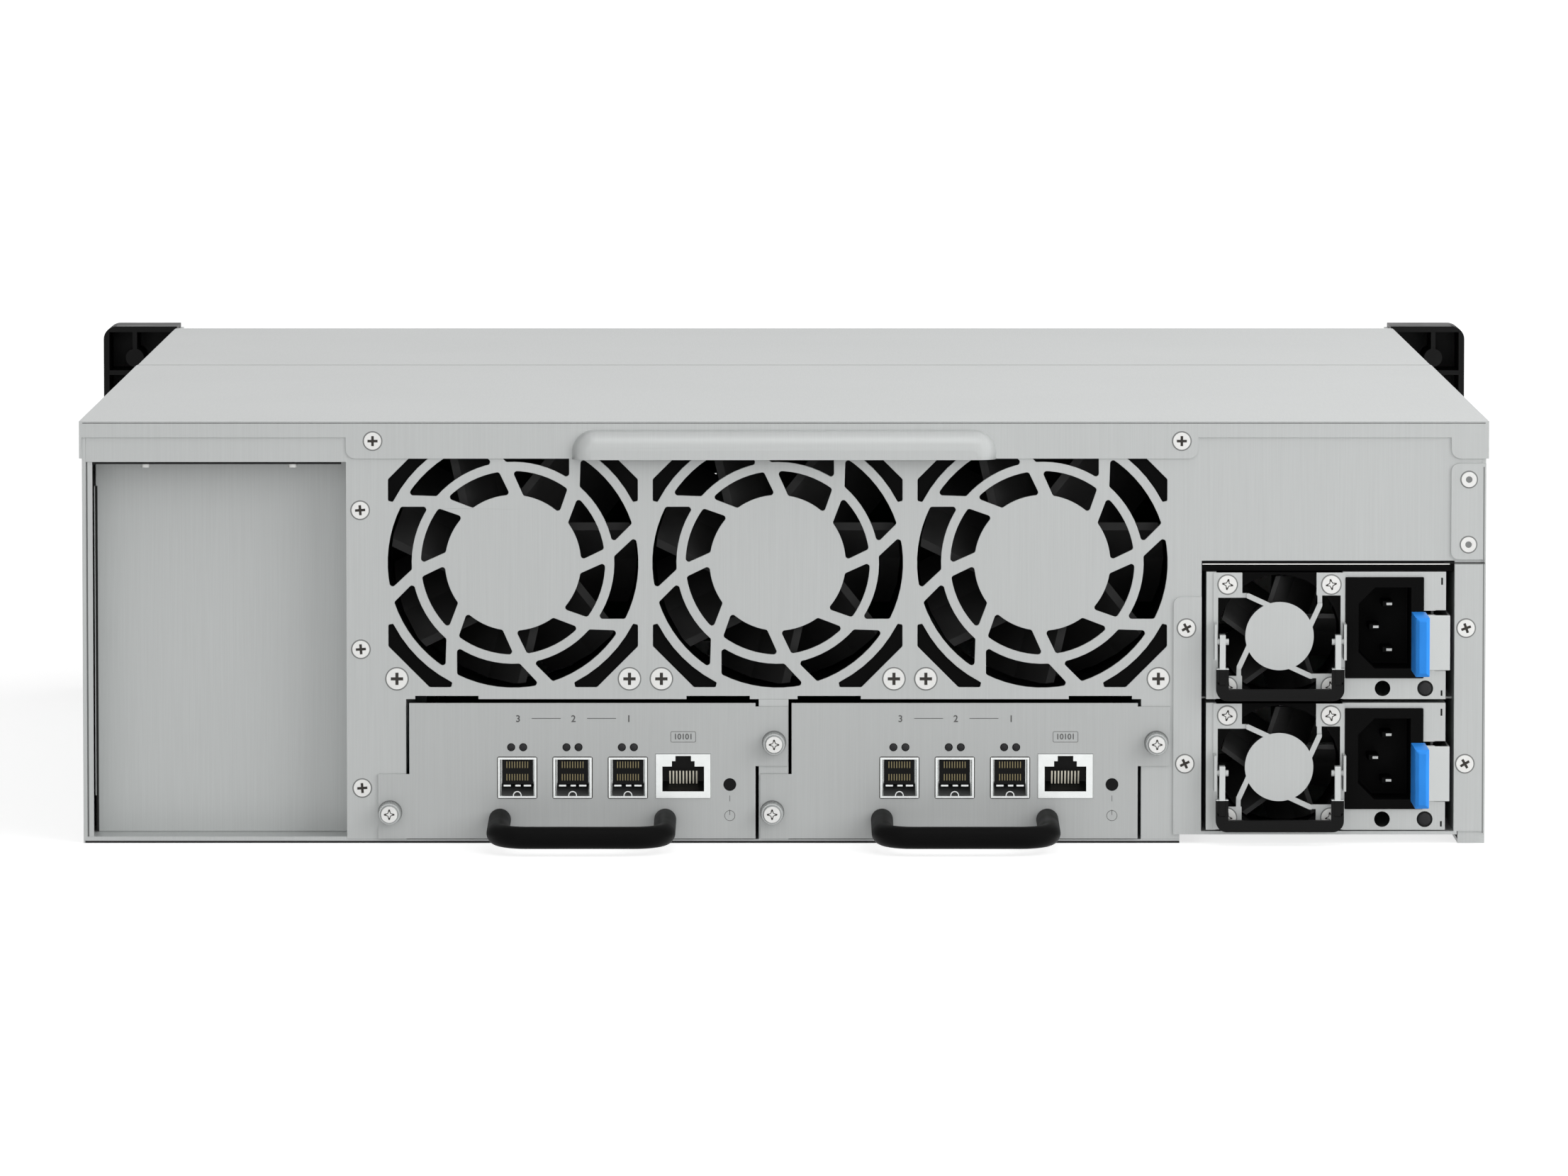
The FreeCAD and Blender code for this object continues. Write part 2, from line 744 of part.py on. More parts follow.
def side_bay_blank():
    """The recessed plate that closes the side bay, with a wall and a return behind the rear panel."""
    behind = "y_back + sheet"
    plate_y = "y_back + bay_depth"
    tall = ("sheet", "header_z")
    pieces = [
        block("blank_plate", ("bay_left_x", "bay_right_x + flange_sheet"),
              (plate_y, f"{plate_y} + flange_sheet"), tall),
        block("blank_wall", ("bay_right_x", "bay_right_x + flange_sheet"),
              (behind, f"{plate_y} + flange_sheet"), tall),
        block("blank_return", ("bay_right_x", "bay_right_x + bay_return"),
              (behind, f"{behind} + flange_sheet"), tall),
    ]
    node("side_bay_blank", fuse("side_bay_blank", pieces))


def canister_cage():
    """The guide sheets round the two canisters and the post between their face plates."""
    behind = "y_back + sheet"
    end = "y_back + canister_cage_length"
    left = "canister_x - face_gap"
    right = "canister_right_x + face_gap"
    post = "canister_x + canister_width + face_gap"
    tall = ("sheet", "canister_open_top + relief_height + cage_sheet")
    shelf = ("canister_open_top + relief_height", "canister_open_top + relief_height + cage_sheet")
    middle = f"{post} + divider_width / 2"
    pieces = [
        block("cage_left", (f"{left} - cage_sheet", left), (behind, end), tall),
        block("cage_right", (right, f"{right} + cage_sheet"), (behind, end), tall),
        block("cage_shelf", (f"{left} - cage_sheet", f"{right} + cage_sheet"), (behind, end), shelf),
        block("cage_middle", (f"{middle} - cage_sheet / 2", f"{middle} + cage_sheet / 2"),
              (behind, end), tall),
        block("cage_post", (post, f"{post} + divider_width"), ("y_back", behind),
              ("sheet", "canister_open_top")),
    ]
    tools = []
    for number, (x, z) in enumerate((thumb_place(1, "upper"), thumb_place(2, "lower"))):
        tools.append(rod(f"post_thumb_{number}", "y", "thumb_hole", (x, "y_back - cut_margin", z),
                         "thumb_reach + 2 * cut_margin"))
    node("canister_cage", cut("canister_cage", fuse("canister_cage_sheets", pieces), tools))


def fan_frame(name, size, depth, bore, strut, base, hub, shaft):
    """A square fan frame with a round duct and a bearing on four struts."""
    body = new_body(name)
    square = sketch_on(body, "XZ_Plane", f"{name}_square")
    half = f"{size} / 2"
    draw_outline(square, ((f"-{half}", f"-{half}"), (half, f"-{half}"), (half, half), (f"-{half}", half)))
    pad(body, square, f"{name}_block", depth)
    duct = sketch_on(body, "XZ_Plane", f"{name}_duct")
    draw_polygon(duct, bore, DUCT_FACETS, around=True)
    pocket(body, duct, f"{name}_bore", f"{depth} + cut_margin")
    arm = sketch_on(body, "XZ_Plane", f"{name}_arm", f"-({depth} - {base})")
    root = f"{bore} + strut_root"
    draw_outline(arm, ((f"{hub} / 2", f"-{strut} / 2"), (root, f"-{strut} / 2"),
                       (root, f"{strut} / 2"), (f"{hub} / 2", f"{strut} / 2")))
    first = pad(body, arm, f"{name}_strut", base)
    polar(body, duct, f"{name}_struts", first, 4)
    seat = sketch_on(body, "XZ_Plane", f"{name}_seat", f"-({depth} - {base})")
    draw_polygon(seat, hub, GRIP_FACETS)
    draw_circle(seat, f"{shaft} + pin_gap")
    body.Tip = pad(body, seat, f"{name}_bearing", base)
    return body


def fan_rotor(name, hub, hub_depth, tip, shaft, shaft_depth, blade):
    """A hub with a shaft and pitched blades that are trimmed to the duct."""
    count, depth, chord, thick, camber = blade
    body = new_body(name)
    face = sketch_on(body, "XZ_Plane", f"{name}_face")
    draw_polygon(face, hub, DUCT_FACETS)
    pad(body, face, f"{name}_hub", hub_depth)
    pin = sketch_on(body, "XZ_Plane", f"{name}_pin", f"-{hub_depth}")
    draw_circle(pin, shaft)
    pad(body, pin, f"{name}_shaft", shaft_depth)
    root = f"{hub} / 2"
    section = sketch_on(body, "YZ_Plane", f"{name}_section", root)
    middle = f"{hub_depth} / 2"
    low = f"{middle} - {depth} / 2"
    high = f"{middle} + {depth} / 2"
    edge = f"{chord} / 2"
    draw_outline(section, ((low, edge), (low, f"{edge} - {thick}"), (middle, f"{camber} - {thick}"),
                           (high, f"-{edge} - {thick}"), (high, f"-{edge}"), (middle, camber)))
    blade_pad = pad(body, section, f"{name}_blade", f"{tip} + cut_margin - {root}", inward=False)
    polar(body, face, f"{name}_blades", blade_pad, count)
    ring = sketch_on(body, "XZ_Plane", f"{name}_ring")
    draw_polygon(ring, tip, DUCT_FACETS)
    draw_circle(ring, f"{tip} * 2")
    body.Tip = pocket(body, ring, f"{name}_trim", hub_depth)
    return body


def case_fans():
    """Three case fans: frames that share a node, and a rotor each."""
    frames = []
    for fan in range(FANS):
        x = f"fan_x + {fan} * fan_pitch"
        frame = fan_frame(f"fan_frame_{fan + 1}", "fan_size", "fan_depth", "fan_bore", "fan_strut",
                          "fan_base_sheet", "fan_bearing", "fan_shaft")
        frames.append(place(frame, x, "y_back + sheet", "fan_z"))
        rotor = fan_rotor(f"fan_rotor_{fan + 1}", "fan_hub", "hub_depth", "fan_tip", "fan_shaft",
                          "fan_depth - fan_face_gap - hub_depth",
                          (FAN_BLADES, "blade_depth", "blade_chord", "blade_sheet", "blade_camber"))
        node(f"fan_rotor_{fan + 1}", place(rotor, x, "y_back + sheet + fan_face_gap", "fan_z"))
    node("fan_frames", group("fan_frames", frames))


def thumb_place(number, level):
    """Where a canister's thumbscrew stands, in the case's own frame."""
    left = f"canister_x + {number - 1} * canister_pitch"
    if level == "lower":
        return f"{left} - thumb_lower_x", "canister_z + thumb_lower_z"
    return f"{left} + canister_width + thumb_upper_x", "canister_z + thumb_upper_z"


def canister_tray(name):
    """A face plate between two screw tabs, a tray of floor and walls behind it, and pads for the board."""
    face = ("-flange_sheet - seat_gap", "-seat_gap")
    through = ("-flange_sheet - cut_margin", "cut_margin / 2")
    long = ("-seat_gap", "canister_length")
    upper_top = "canister_height - tab_upper_drop"
    tabs = {
        "lower": (("-tab_lower_width", "0"), ("0", "tab_lower_height"), "-thumb_lower_x"),
        "upper": (("canister_width", "canister_width + tab_upper_width"),
                  (f"{upper_top} - tab_upper_height", upper_top), "canister_width + thumb_upper_x"),
    }
    pieces = []
    for level, (wide, tall, screw_x) in tabs.items():
        sheet = block(f"{name}_tab_{level}_sheet", wide, face, tall)
        hole = rod(f"{name}_thumb_{level}", "y", "thumb_hole", (screw_x, through[0], f"thumb_{level}_z"),
                   "2 * cut_margin")
        pieces.append(cut(f"{name}_tab_{level}", sheet, [hole]))
    folds = [block(f"{name}_floor", ("canister_inset", "canister_width - canister_inset"), long,
                   ("0", "flange_sheet"))]
    for side in ("canister_inset", "canister_width - canister_inset - flange_sheet"):
        folds.append(block(f"{name}_wall_{len(folds)}", (side, f"{side} + flange_sheet"), long,
                           ("0", "canister_wall")))
    pieces.append(fuse(f"{name}_folds", folds))
    for x in ("pad_inset", "canister_width - pad_inset"):
        for y in ("2 * pad_inset", "canister_length - 2 * pad_inset"):
            pieces.append(block(f"{name}_pad_{len(pieces)}", (f"{x} - pad_size / 2", f"{x} + pad_size / 2"),
                                (f"{y} - pad_size / 2", f"{y} + pad_size / 2"),
                                ("flange_sheet", "board_top - board_sheet")))
    tools = []
    for port in range(PORTS):
        x = f"port_first + {port} * port_pitch"
        half = "port_width / 2 + seat_gap"
        tools.append(block(f"{name}_port_{port}", (f"{x} - ({half})", f"{x} + {half}"), through,
                           ("board_top - seat_gap", "board_top + port_height + seat_gap")))
    tools.append(block(f"{name}_jack", ("jack_left - seat_gap", "jack_left + jack_width + seat_gap"), through,
                       ("board_top - seat_gap", "board_top + jack_height + seat_gap")))
    tools.append(rod(f"{name}_button_hole", "y", "button_radius + button_gap",
                     ("button_x", "-flange_sheet - cut_margin", "button_z"), "2 * cut_margin"))
    sheet = block(f"{name}_face", ("0", "canister_width"), face, ("0", "canister_height"))
    return group(name, [cut(f"{name}_plate", sheet, tools), *pieces])


def canister_board(name):
    """The board with its edge connector, heat sink and button switch, one solid each."""
    top = "board_top"
    middle = "canister_width / 2"
    board = block(f"{name}_sheet", ("board_inset", "canister_width - board_inset"),
                  ("slide_gap", "canister_length - board_inset"), (f"{top} - board_sheet", top))
    half = "edge_connector_width / 2"
    plug = block(f"{name}_plug", (f"{middle} - {half}", f"{middle} + {half}"),
                 ("canister_length - edge_connector_length", "rear_zone - slide_gap"),
                 (top, f"{top} + edge_connector_height"))
    sink = block(f"{name}_sink", (f"{middle} - heat_sink_size / 2", f"{middle} + heat_sink_size / 2"),
                 ("heat_sink_depth", "heat_sink_depth + heat_sink_size"), (top, f"{top} + heat_sink_height"))
    switch = block(f"{name}_switch", ("button_x - switch_size / 2", "button_x + switch_size / 2"),
                   ("button_length + button_travel", "button_length + button_travel + switch_size"),
                   (top, "button_z + button_radius"))
    return group(name, [board, plug, sink, switch])


def cable_port(name, x):
    """A metal port shell with a connector insert set back inside its mouth."""
    low = "board_top"
    high = "board_top + port_height"
    left = f"{x} - port_width / 2"
    right = f"{x} + port_width / 2"
    front = "-flange_sheet - port_proud"
    shell = block(f"{name}_shell", (left, right), (front, f"{front} + port_length"), (low, high))
    mouth = block(f"{name}_mouth", (f"{left} + port_shell", f"{right} - port_shell"),
                  (f"{front} - cut_margin", f"{front} + port_depth"),
                  (f"{low} + port_shell", f"{high} - port_shell"))
    return cut(name, shell, [mouth])


def console_jack(name):
    """A square jack with two steps in the top of its mouth."""
    front = "-flange_sheet - port_proud"
    middle = "jack_left + jack_width / 2"
    mouth_low = "board_top + jack_mouth_lift"
    inside = (f"{front} - cut_margin", f"{front} + jack_depth")
    shell = block(f"{name}_shell", ("jack_left", "jack_left + jack_width"), (front, f"{front} + jack_length"),
                  ("board_top", "board_top + jack_height"))
    steps = []
    top = mouth_low
    for step in ("mouth", "key", "catch"):
        top = f"{top} + jack_{step}_height"
        half = f"jack_{step}_width / 2"
        steps.append(block(f"{name}_{step}", (f"{middle} - {half}", f"{middle} + {half}"), inside,
                           (mouth_low, top)))
    return cut(name, shell, [fuse(f"{name}_space", steps)])


def handle_line():
    """The handle's middle line from foot to foot: two legs, two bends in short chords and the grip."""
    radius = value("handle_radius")
    bend = value("handle_bend")
    half = value("handle_span") / 2
    leg = value("handle_reach") - radius - bend
    points = [FreeCAD.Vector(-half, 0, 0)]
    for step in range(BEND_STEPS + 1):
        angle = math.pi / 2 * step / BEND_STEPS
        across = bend * (1 - math.cos(angle)) - half
        points.append(FreeCAD.Vector(across, -leg - bend * math.sin(angle), 0))
    return points + [FreeCAD.Vector(-point.x, point.y, 0) for point in reversed(points)]


def rod_handle(name):
    """A bent bar with grip facets, mitred from chord to chord along its middle line."""
    radius = value("handle_radius")
    line = handle_line()
    rings = []
    for number, at in enumerate(line):
        before = (at - line[number - 1]).normalize() if number else Y_AXIS * -1
        after = (line[number + 1] - at).normalize() if number + 1 < len(line) else Y_AXIS
        mitre = (before + after).normalize()
        across = mitre.cross(Z_AXIS) * (radius / mitre.dot(after))
        turns = [2 * math.pi * facet / GRIP_FACETS for facet in range(GRIP_FACETS)]
        rings.append([at + across * math.cos(turn) + Z_AXIS * (radius * math.sin(turn)) for turn in turns])
    faces = [Part.Face(Part.makePolygon(ring + ring[:1])) for ring in (rings[0], rings[-1])]
    for ring, following in zip(rings, rings[1:]):
        for facet in range(GRIP_FACETS):
            after = (facet + 1) % GRIP_FACETS
            corners = [ring[facet], ring[after], following[after], following[facet], ring[facet]]
            faces.append(Part.Face(Part.makePolygon(corners)))
    handle = formed(name, Part.Solid(Part.Shell(faces)))
    handle.Placement.Rotation = FreeCAD.Rotation(X_AXIS, value("handle_droop"))
    return handle


def knurled(name, radius, start, length):
    """A head with flat grip facets, raised along +Y."""
    outline = doc.addObject("Part::RegularPolygon", f"{name}_outline")
    outline.Polygon = GRIP_FACETS
    outline.Placement.Rotation = ALONG["y"]
    bind(outline, "Circumradius", radius)
    place(outline, *start)
    head = doc.addObject("Part::Extrusion", name)
    head.Base = outline
    head.DirMode = "Custom"
    head.Dir = Y_AXIS
    head.Solid = True
    bind(head, "LengthFwd", length)
    return head


def thumbscrew(name):
    """A captive screw with a knurled head, a smaller cap and a shank."""
    face = "-flange_sheet - seat_gap"
    shoulder = f"{face} - thumb_length"
    cap = knurled(f"{name}_cap", "thumb_cap", ("0", f"{shoulder} - thumb_cap_length", "0"),
                  "thumb_cap_length")
    head = knurled(f"{name}_head", "thumb_radius", ("0", shoulder, "0"), "thumb_length")
    shank = rod(f"{name}_shank", "y", "thumb_shank", ("0", face, "0"), f"thumb_reach - ({face})")
    return fuse(name, [cap, head, shank])


def push_button(name, left):
    """A button stem that reaches from the face plate towards the switch behind it."""
    start = (f"{left} + button_x", "y_back - flange_sheet - seat_gap", "canister_z + button_z")
    return rod(name, "y", "button_radius", start, "button_length + flange_sheet + seat_gap")


def canister(number):
    """One interface canister, every piece placed from the left lower corner of its face plate."""
    name = f"canister_{number}"
    left = f"canister_x + {number - 1} * canister_pitch"
    ports = [cable_port(f"{name}_port_{port}", f"port_first + {port} * port_pitch") for port in range(PORTS)]
    ports.append(console_jack(f"{name}_console"))
    corner = (left, "y_back", "canister_z")
    node(f"{name}_tray", place(canister_tray(f"{name}_tray"), *corner))
    node(f"{name}_board", place(canister_board(f"{name}_board"), *corner))
    node(f"{name}_ports", place(group(f"{name}_ports", ports), *corner))
    node(f"{name}_handle", place(rod_handle(f"{name}_handle"), f"{left} + canister_width / 2",
                                 "y_back - flange_sheet - seat_gap - handle_gap", "canister_z + handle_lift"))
    node(f"{name}_button", push_button(f"{name}_button", left))
    for level in ("lower", "upper"):
        x, z = thumb_place(number, level)
        label = f"{name}_thumbscrew_{level}"
        node(label, place(thumbscrew(label), x, "y_back", z))


def psu_cage():
    """The open-ended sheet box for the two supplies, with guide ledges and screwed rear flanges."""
    end = "y_back + psu_length + psu_cage_tail"
    inside = ("y_back + sheet", f"{end} - cage_sheet")
    face = ("y_back - flange_sheet", "y_back")
    tall = ("psu_floor", "psu_top")
    left = "psu_left_x - cage_sheet"
    right = "psu_right_x + cage_sheet"
    flange_left = "psu_left_x - psu_flange_left"
    flange_top = "psu_floor + psu_flange_height"
    left_flange = block("psu_flange_left_sheet", (flange_left, "psu_left_x"), face,
                        ("psu_lift", flange_top))
    pieces = [
        block("psu_cage_floor", (left, right), ("y_back", end), ("psu_lift", "psu_floor")),
        block("psu_cage_roof", (left, right), inside, ("psu_top", "psu_top + cage_sheet")),
        block("psu_cage_left", (left, "psu_left_x"), inside, tall),
        block("psu_cage_right", ("psu_right_x", right), inside, tall),
        block("psu_cage_end", (left, right), (f"{end} - cage_sheet", end),
              ("psu_floor", "psu_top + cage_sheet")),
        rounded_at("psu_flange_left", left_flange, [(flange_left, flange_top)], "tab_round"),
        block("psu_flange_low", ("psu_left_x", right), face, ("psu_lift", "psu_floor")),
        block("psu_flange_right", ("psu_right_x", "half_width"), face,
              ("psu_floor", "rivet_tab_top - rivet_tab_height - rivet_tab_gap")),
    ]
    ledge_top = "psu_z + psu_pitch - slide_gap"
    for x in (("psu_left_x", "psu_left_x + psu_inset + psu_ledge"),
              ("psu_right_x - psu_latch_gap - psu_ledge", "psu_right_x")):
        pieces.append(block(f"psu_ledge_{len(pieces)}", x,
                            ("y_back + psu_ledge_set_back", f"{end} - cage_sheet"),
                            (f"{ledge_top} - psu_ledge_sheet", ledge_top)))
    node("psu_cage", group("psu_cage", pieces))


def psu_case(name):
    """A folded sheet case, cut away round the fan, the inlet and the release arm."""
    shell = block(f"{name}_outside", ("0", "psu_width"), ("0", "psu_length"), ("0", "psu_height"))
    inside = block(f"{name}_inside", ("psu_sheet", "psu_width - psu_sheet"),
                   ("psu_sheet", "psu_length - psu_sheet"), ("psu_sheet", "psu_height - psu_sheet"))
    half_fan = "psu_fan_size / 2 + seat_gap"
    fan = block(f"{name}_fan_space", (f"psu_fan_x - {half_fan}", f"psu_fan_x + {half_fan}"),
                ("-cut_margin", "psu_fan_depth + slide_gap"), ("-cut_margin", "psu_height + cut_margin"))
    through = ("-cut_margin", "psu_sheet + cut_margin")
    rim = "inlet_rim - seat_gap"
    inlet = block(f"{name}_inlet_space", (f"inlet_x + {rim}", f"inlet_x + inlet_width - ({rim})"), through,
                  (f"inlet_z + {rim}", f"inlet_z + inlet_height - ({rim})"))
    slot_low = "latch_z + latch_height - latch_arm_drop"
    slot = block(f"{name}_slot", ("inlet_x + inlet_width", "psu_width - psu_sheet"), through,
                 (slot_low, f"{slot_low} + latch_slot"))
    hole = rod(f"{name}_hole", "y", "psu_hole", ("psu_hole_x", "-cut_margin", "psu_hole_z"),
               "psu_sheet + 2 * cut_margin")
    arm = block(f"{name}_arm_space", ("psu_width - latch_travel - psu_sheet", "psu_width + cut_margin"),
                ("-cut_margin", "latch_arm_length + latch_travel"),
                ("latch_z - slide_gap", "latch_z + latch_height + slide_gap"))
    tail = block(f"{name}_tail_space", ("psu_width / 4", "3 * psu_width / 4"),
                 ("psu_length - cut_margin", "psu_length + cut_margin"), ("psu_height / 4", "psu_height / 2"))
    return cut(name, shell, [inside, fan, inlet, slot, hole, arm, tail])


def psu_guard(name):
    """A pinwheel guard: corner tabs, side strips, stepped spokes and a raised hub."""
    plane = ("-guard_sheet", "0")
    raised = ("-guard_sheet - guard_rise", "-guard_rise")
    wide = "guard_half_width"
    tall = "guard_half_height"
    plate = block(f"{name}_plate", (f"-{wide}", wide), plane, (f"-{tall}", tall))
    window = f"{wide} - guard_tab_width"
    side = f"{wide} - guard_strip"
    inside = ("-guard_sheet - cut_margin", "cut_margin")
    over = f"{tall} + cut_margin"
    tools = [block(f"{name}_window", (f"-({side})", side), inside, (f"-({over})", over))]
    pieces = [cut(f"{name}_frame", plate, tools)]
    tab_low = f"{tall} - guard_tab_height"
    for x in ((f"-{wide}", f"-({window})"), (window, wide)):
        for z in ((f"-{tall}", f"-({tab_low})"), (tab_low, tall)):
            pieces.append(block(f"{name}_tab_{len(pieces)}", x, plane, z))
    pieces.append(rod(f"{name}_hub", "y", "guard_hub", ("0", "-guard_sheet - guard_rise", "0"),
                      "guard_sheet"))
    spoke_low = f"{tab_low} - guard_spoke / 2"
    run = block(f"{name}_run", (f"-({side})", "-guard_step_x"), plane,
                (spoke_low, f"{spoke_low} + guard_spoke"))
    step = block(f"{name}_step", ("-guard_step_x - guard_sheet", "-guard_step_x"),
                 ("-guard_sheet - guard_rise", "0"), (spoke_low, f"{spoke_low} + guard_spoke"))
    roots = [(f"-guard_hub * {x}", f"guard_hub * {z}") for x, z in SPOKE_ROOTS]
    slant = prism(f"{name}_slant", (("-guard_step_x - guard_sheet", spoke_low), *roots,
                                    ("-guard_step_x", f"{spoke_low} + guard_spoke"),
                                    ("-guard_step_x - guard_sheet", f"{spoke_low} + guard_spoke")), *raised)
    spoke = fuse(f"{name}_spoke", [run, step, slant])
    for quarter in range(4):
        arm = doc.addObject("Part::Compound", f"{name}_arm_{quarter}")
        arm.Links = [spoke]
        arm.Placement.Rotation = FreeCAD.Rotation(Y_AXIS, 90 * quarter)
        pieces.append(arm)
    ear_x = "bail_half_width - bail_leg"
    pivot_y = "-guard_sheet - guard_rise - bail_stand_off"
    for side, (low, high) in (("left", (f"-{wide}", f"-{wide} + bail_ear_sheet")),
                              ("right", (f"{wide} - bail_ear_sheet", wide))):
        pieces.append(block(f"{name}_ear_{side}", (low, high),
                            (f"{pivot_y} - bail_eye", "-guard_sheet / 2"),
                            ("bail_pivot_z - bail_ear_height / 2", "bail_pivot_z + bail_ear_height / 2")))
    for side, start in (("left", f"-{wide}"), ("right", ear_x)):
        pieces.append(rod(f"{name}_pin_{side}", "x", "bail_pin", (start, pivot_y, "bail_pivot_z"),
                          f"{wide} - ({ear_x})"))
    return fuse(name, pieces)


def bail_handle(name):
    """A swinging U grip on two flat strips with pivot eyes; it hangs down at rest."""
    half = "bail_half_width"
    low = "bail_pivot_z - bail_drop"
    flat = ("-bail_thickness / 2", "bail_thickness / 2")
    grip = block(f"{name}_grip", (f"-{half}", half), flat, (low, f"{low} + bail_height"))
    space = block(f"{name}_space", (f"bail_leg - {half}", f"{half} - bail_leg"),
                  ("-bail_thickness", "bail_thickness"),
                  (f"{low} + bail_bar", f"{low} + bail_height + cut_margin"))
    corners = [(f"-{half}", low), (half, low)]
    pieces = [rounded_at(f"{name}_rounded", cut(f"{name}_u", grip, [space]), corners, "bail_corner")]
    tools = []
    for side in ("-", "+"):
        middle = f"{side}({half} - bail_leg / 2)"
        strip = (f"{middle} - bail_strip / 2", f"{middle} + bail_strip / 2")
        pieces.append(block(f"{name}_strip_{len(pieces)}", strip,
                            ("-bail_strip_sheet / 2", "bail_strip_sheet / 2"),
                            (f"{low} + bail_height / 2", "bail_pivot_z + bail_eye")))
        tools.append(rod(f"{name}_eye_hole_{len(tools)}", "x", "bail_pin + pin_gap",
                         (f"{strip[0]} - cut_margin", "0", "bail_pivot_z"), "bail_strip + 2 * cut_margin"))
    return cut(name, fuse(f"{name}_pieces", pieces), tools)


def mains_inlet(name):
    """A flanged inlet with a chamfered mouth and three contact pins, one solid each."""
    right = "inlet_x + inlet_width"
    top = "inlet_z + inlet_height"
    flange = block(f"{name}_flange", ("inlet_x", right), ("-inlet_flange", "0"), ("inlet_z", top))
    barrel = block(f"{name}_barrel", ("inlet_x + inlet_rim", f"{right} - inlet_rim"),
                   ("-inlet_flange", "inlet_length"), ("inlet_z + inlet_rim", f"{top} - inlet_rim"))
    left = "inlet_x + inlet_mouth_x"
    low = "inlet_z + inlet_mouth_z"
    far = f"{left} + inlet_mouth_width"
    high = f"{low} + inlet_mouth_height"
    mouth = prism(f"{name}_mouth", ((far, low), (far, high), (f"{left} + inlet_mouth_chamfer", high),
                                    (left, f"{high} - inlet_mouth_chamfer"),
                                    (left, f"{low} + inlet_mouth_chamfer"),
                                    (f"{left} + inlet_mouth_chamfer", low)),
                  "-inlet_flange - cut_margin", "inlet_mouth_depth - inlet_flange")
    solids = [cut(f"{name}_housing", fuse(f"{name}_mould", [flange, barrel]), [mouth])]
    middle_x = f"{left} + inlet_mouth_width / 2"
    middle_z = f"{low} + inlet_mouth_height / 2"
    floor = "inlet_mouth_depth - inlet_flange"
    for step, shift in ((-1, 0), (0, -1), (1, 0)):
        x = f"{middle_x} + {shift} * inlet_pin_offset + inlet_pin_offset / 4"
        z = f"{middle_z} + {step} * inlet_pin_pitch"
        solids.append(block(f"{name}_pin_{len(solids)}",
                            (f"{x} - inlet_pin_width / 2", f"{x} + inlet_pin_width / 2"),
                            (f"{floor} - inlet_pin_reach", floor),
                            (f"{z} - inlet_pin_height / 2", f"{z} + inlet_pin_height / 2")))
    return group(name, solids)


def release_latch(name):
    """A chamfered tab to squeeze, on a sheet arm that runs along the supply's side to a locking nose."""
    arm_front = "-inlet_flange - slide_gap - latch_arm_sheet"
    arm_back = "-inlet_flange - slide_gap"
    top = "latch_z + latch_height"
    tall = ("latch_z", f"{top} - latch_arm_drop")
    side = "psu_width + latch_arm_gap"
    tab = block(f"{name}_tab", ("latch_x", "latch_x + latch_width"),
                (f"{arm_front} - latch_reach", arm_front), ("latch_z", top))
    doc.recompute()
    root = tab.Shape.BoundBox.YMax - TOUCH
    edges = enumerate(tab.Shape.Edges, start=1)
    outer = [number for number, edge in edges if edge.BoundBox.YMax < root]
    chamfered = doc.addObject("Part::Chamfer", f"{name}_tab_chamfered")
    chamfered.Base = tab
    chamfered.Edges = [(number, value("latch_chamfer"), value("latch_chamfer")) for number in outer]
    cross = block(f"{name}_cross", ("latch_x", f"{side} + latch_arm_sheet"), (arm_front, arm_back), tall)
    arm = block(f"{name}_arm", (side, f"{side} + latch_arm_sheet"), (arm_front, "latch_arm_length"), tall)
    nose = block(f"{name}_nose", (side, "psu_width + psu_latch_gap - slide_gap"),
                 ("latch_arm_length - latch_height / 2", "latch_arm_length"),
                 ("latch_z + latch_height / 4", "latch_z + 3 * latch_height / 4"))
    return fuse(name, [chamfered, cross, arm, nose])


def power_supply(number):
    """One supply, every piece placed from the left lower corner of its rear face."""
    name = f"psu_{number}"
    corner = ("psu_left_x + psu_inset", "y_back", f"psu_z + {2 - number} * psu_pitch")
    x, y, z = corner
    middle = (f"{x} + psu_fan_x", y, f"{z} + psu_fan_z")
    pivot = (middle[0], f"{y} - guard_sheet - guard_rise - bail_stand_off", middle[2])
    node(f"{name}_case", place(psu_case(f"{name}_case"), *corner))
    frame = fan_frame(f"{name}_fan_frame", "psu_fan_size", "psu_fan_depth", "psu_fan_bore", "psu_fan_strut",
                      "psu_fan_base_sheet", "psu_fan_bearing", "psu_fan_shaft")
    node(f"{name}_fan_frame", place(frame, *middle))
    rotor = fan_rotor(f"{name}_rotor", "psu_fan_hub", "psu_hub_depth", "psu_fan_tip", "psu_fan_shaft",
                      "psu_fan_depth - psu_fan_face_gap - psu_hub_depth",
                      (PSU_FAN_BLADES, "psu_blade_depth", "psu_blade_chord", "psu_blade_sheet",
                       "psu_blade_camber"))
    node(f"{name}_rotor", place(rotor, middle[0], f"{y} + psu_fan_face_gap", middle[2]))
    node(f"{name}_guard", place(psu_guard(f"{name}_guard"), *middle))
    node(f"{name}_inlet", place(mains_inlet(f"{name}_inlet"), *corner))
    node(f"{name}_handle", place(bail_handle(f"{name}_handle"), *pivot))
    node(f"{name}_latch", place(release_latch(f"{name}_latch"), *corner))


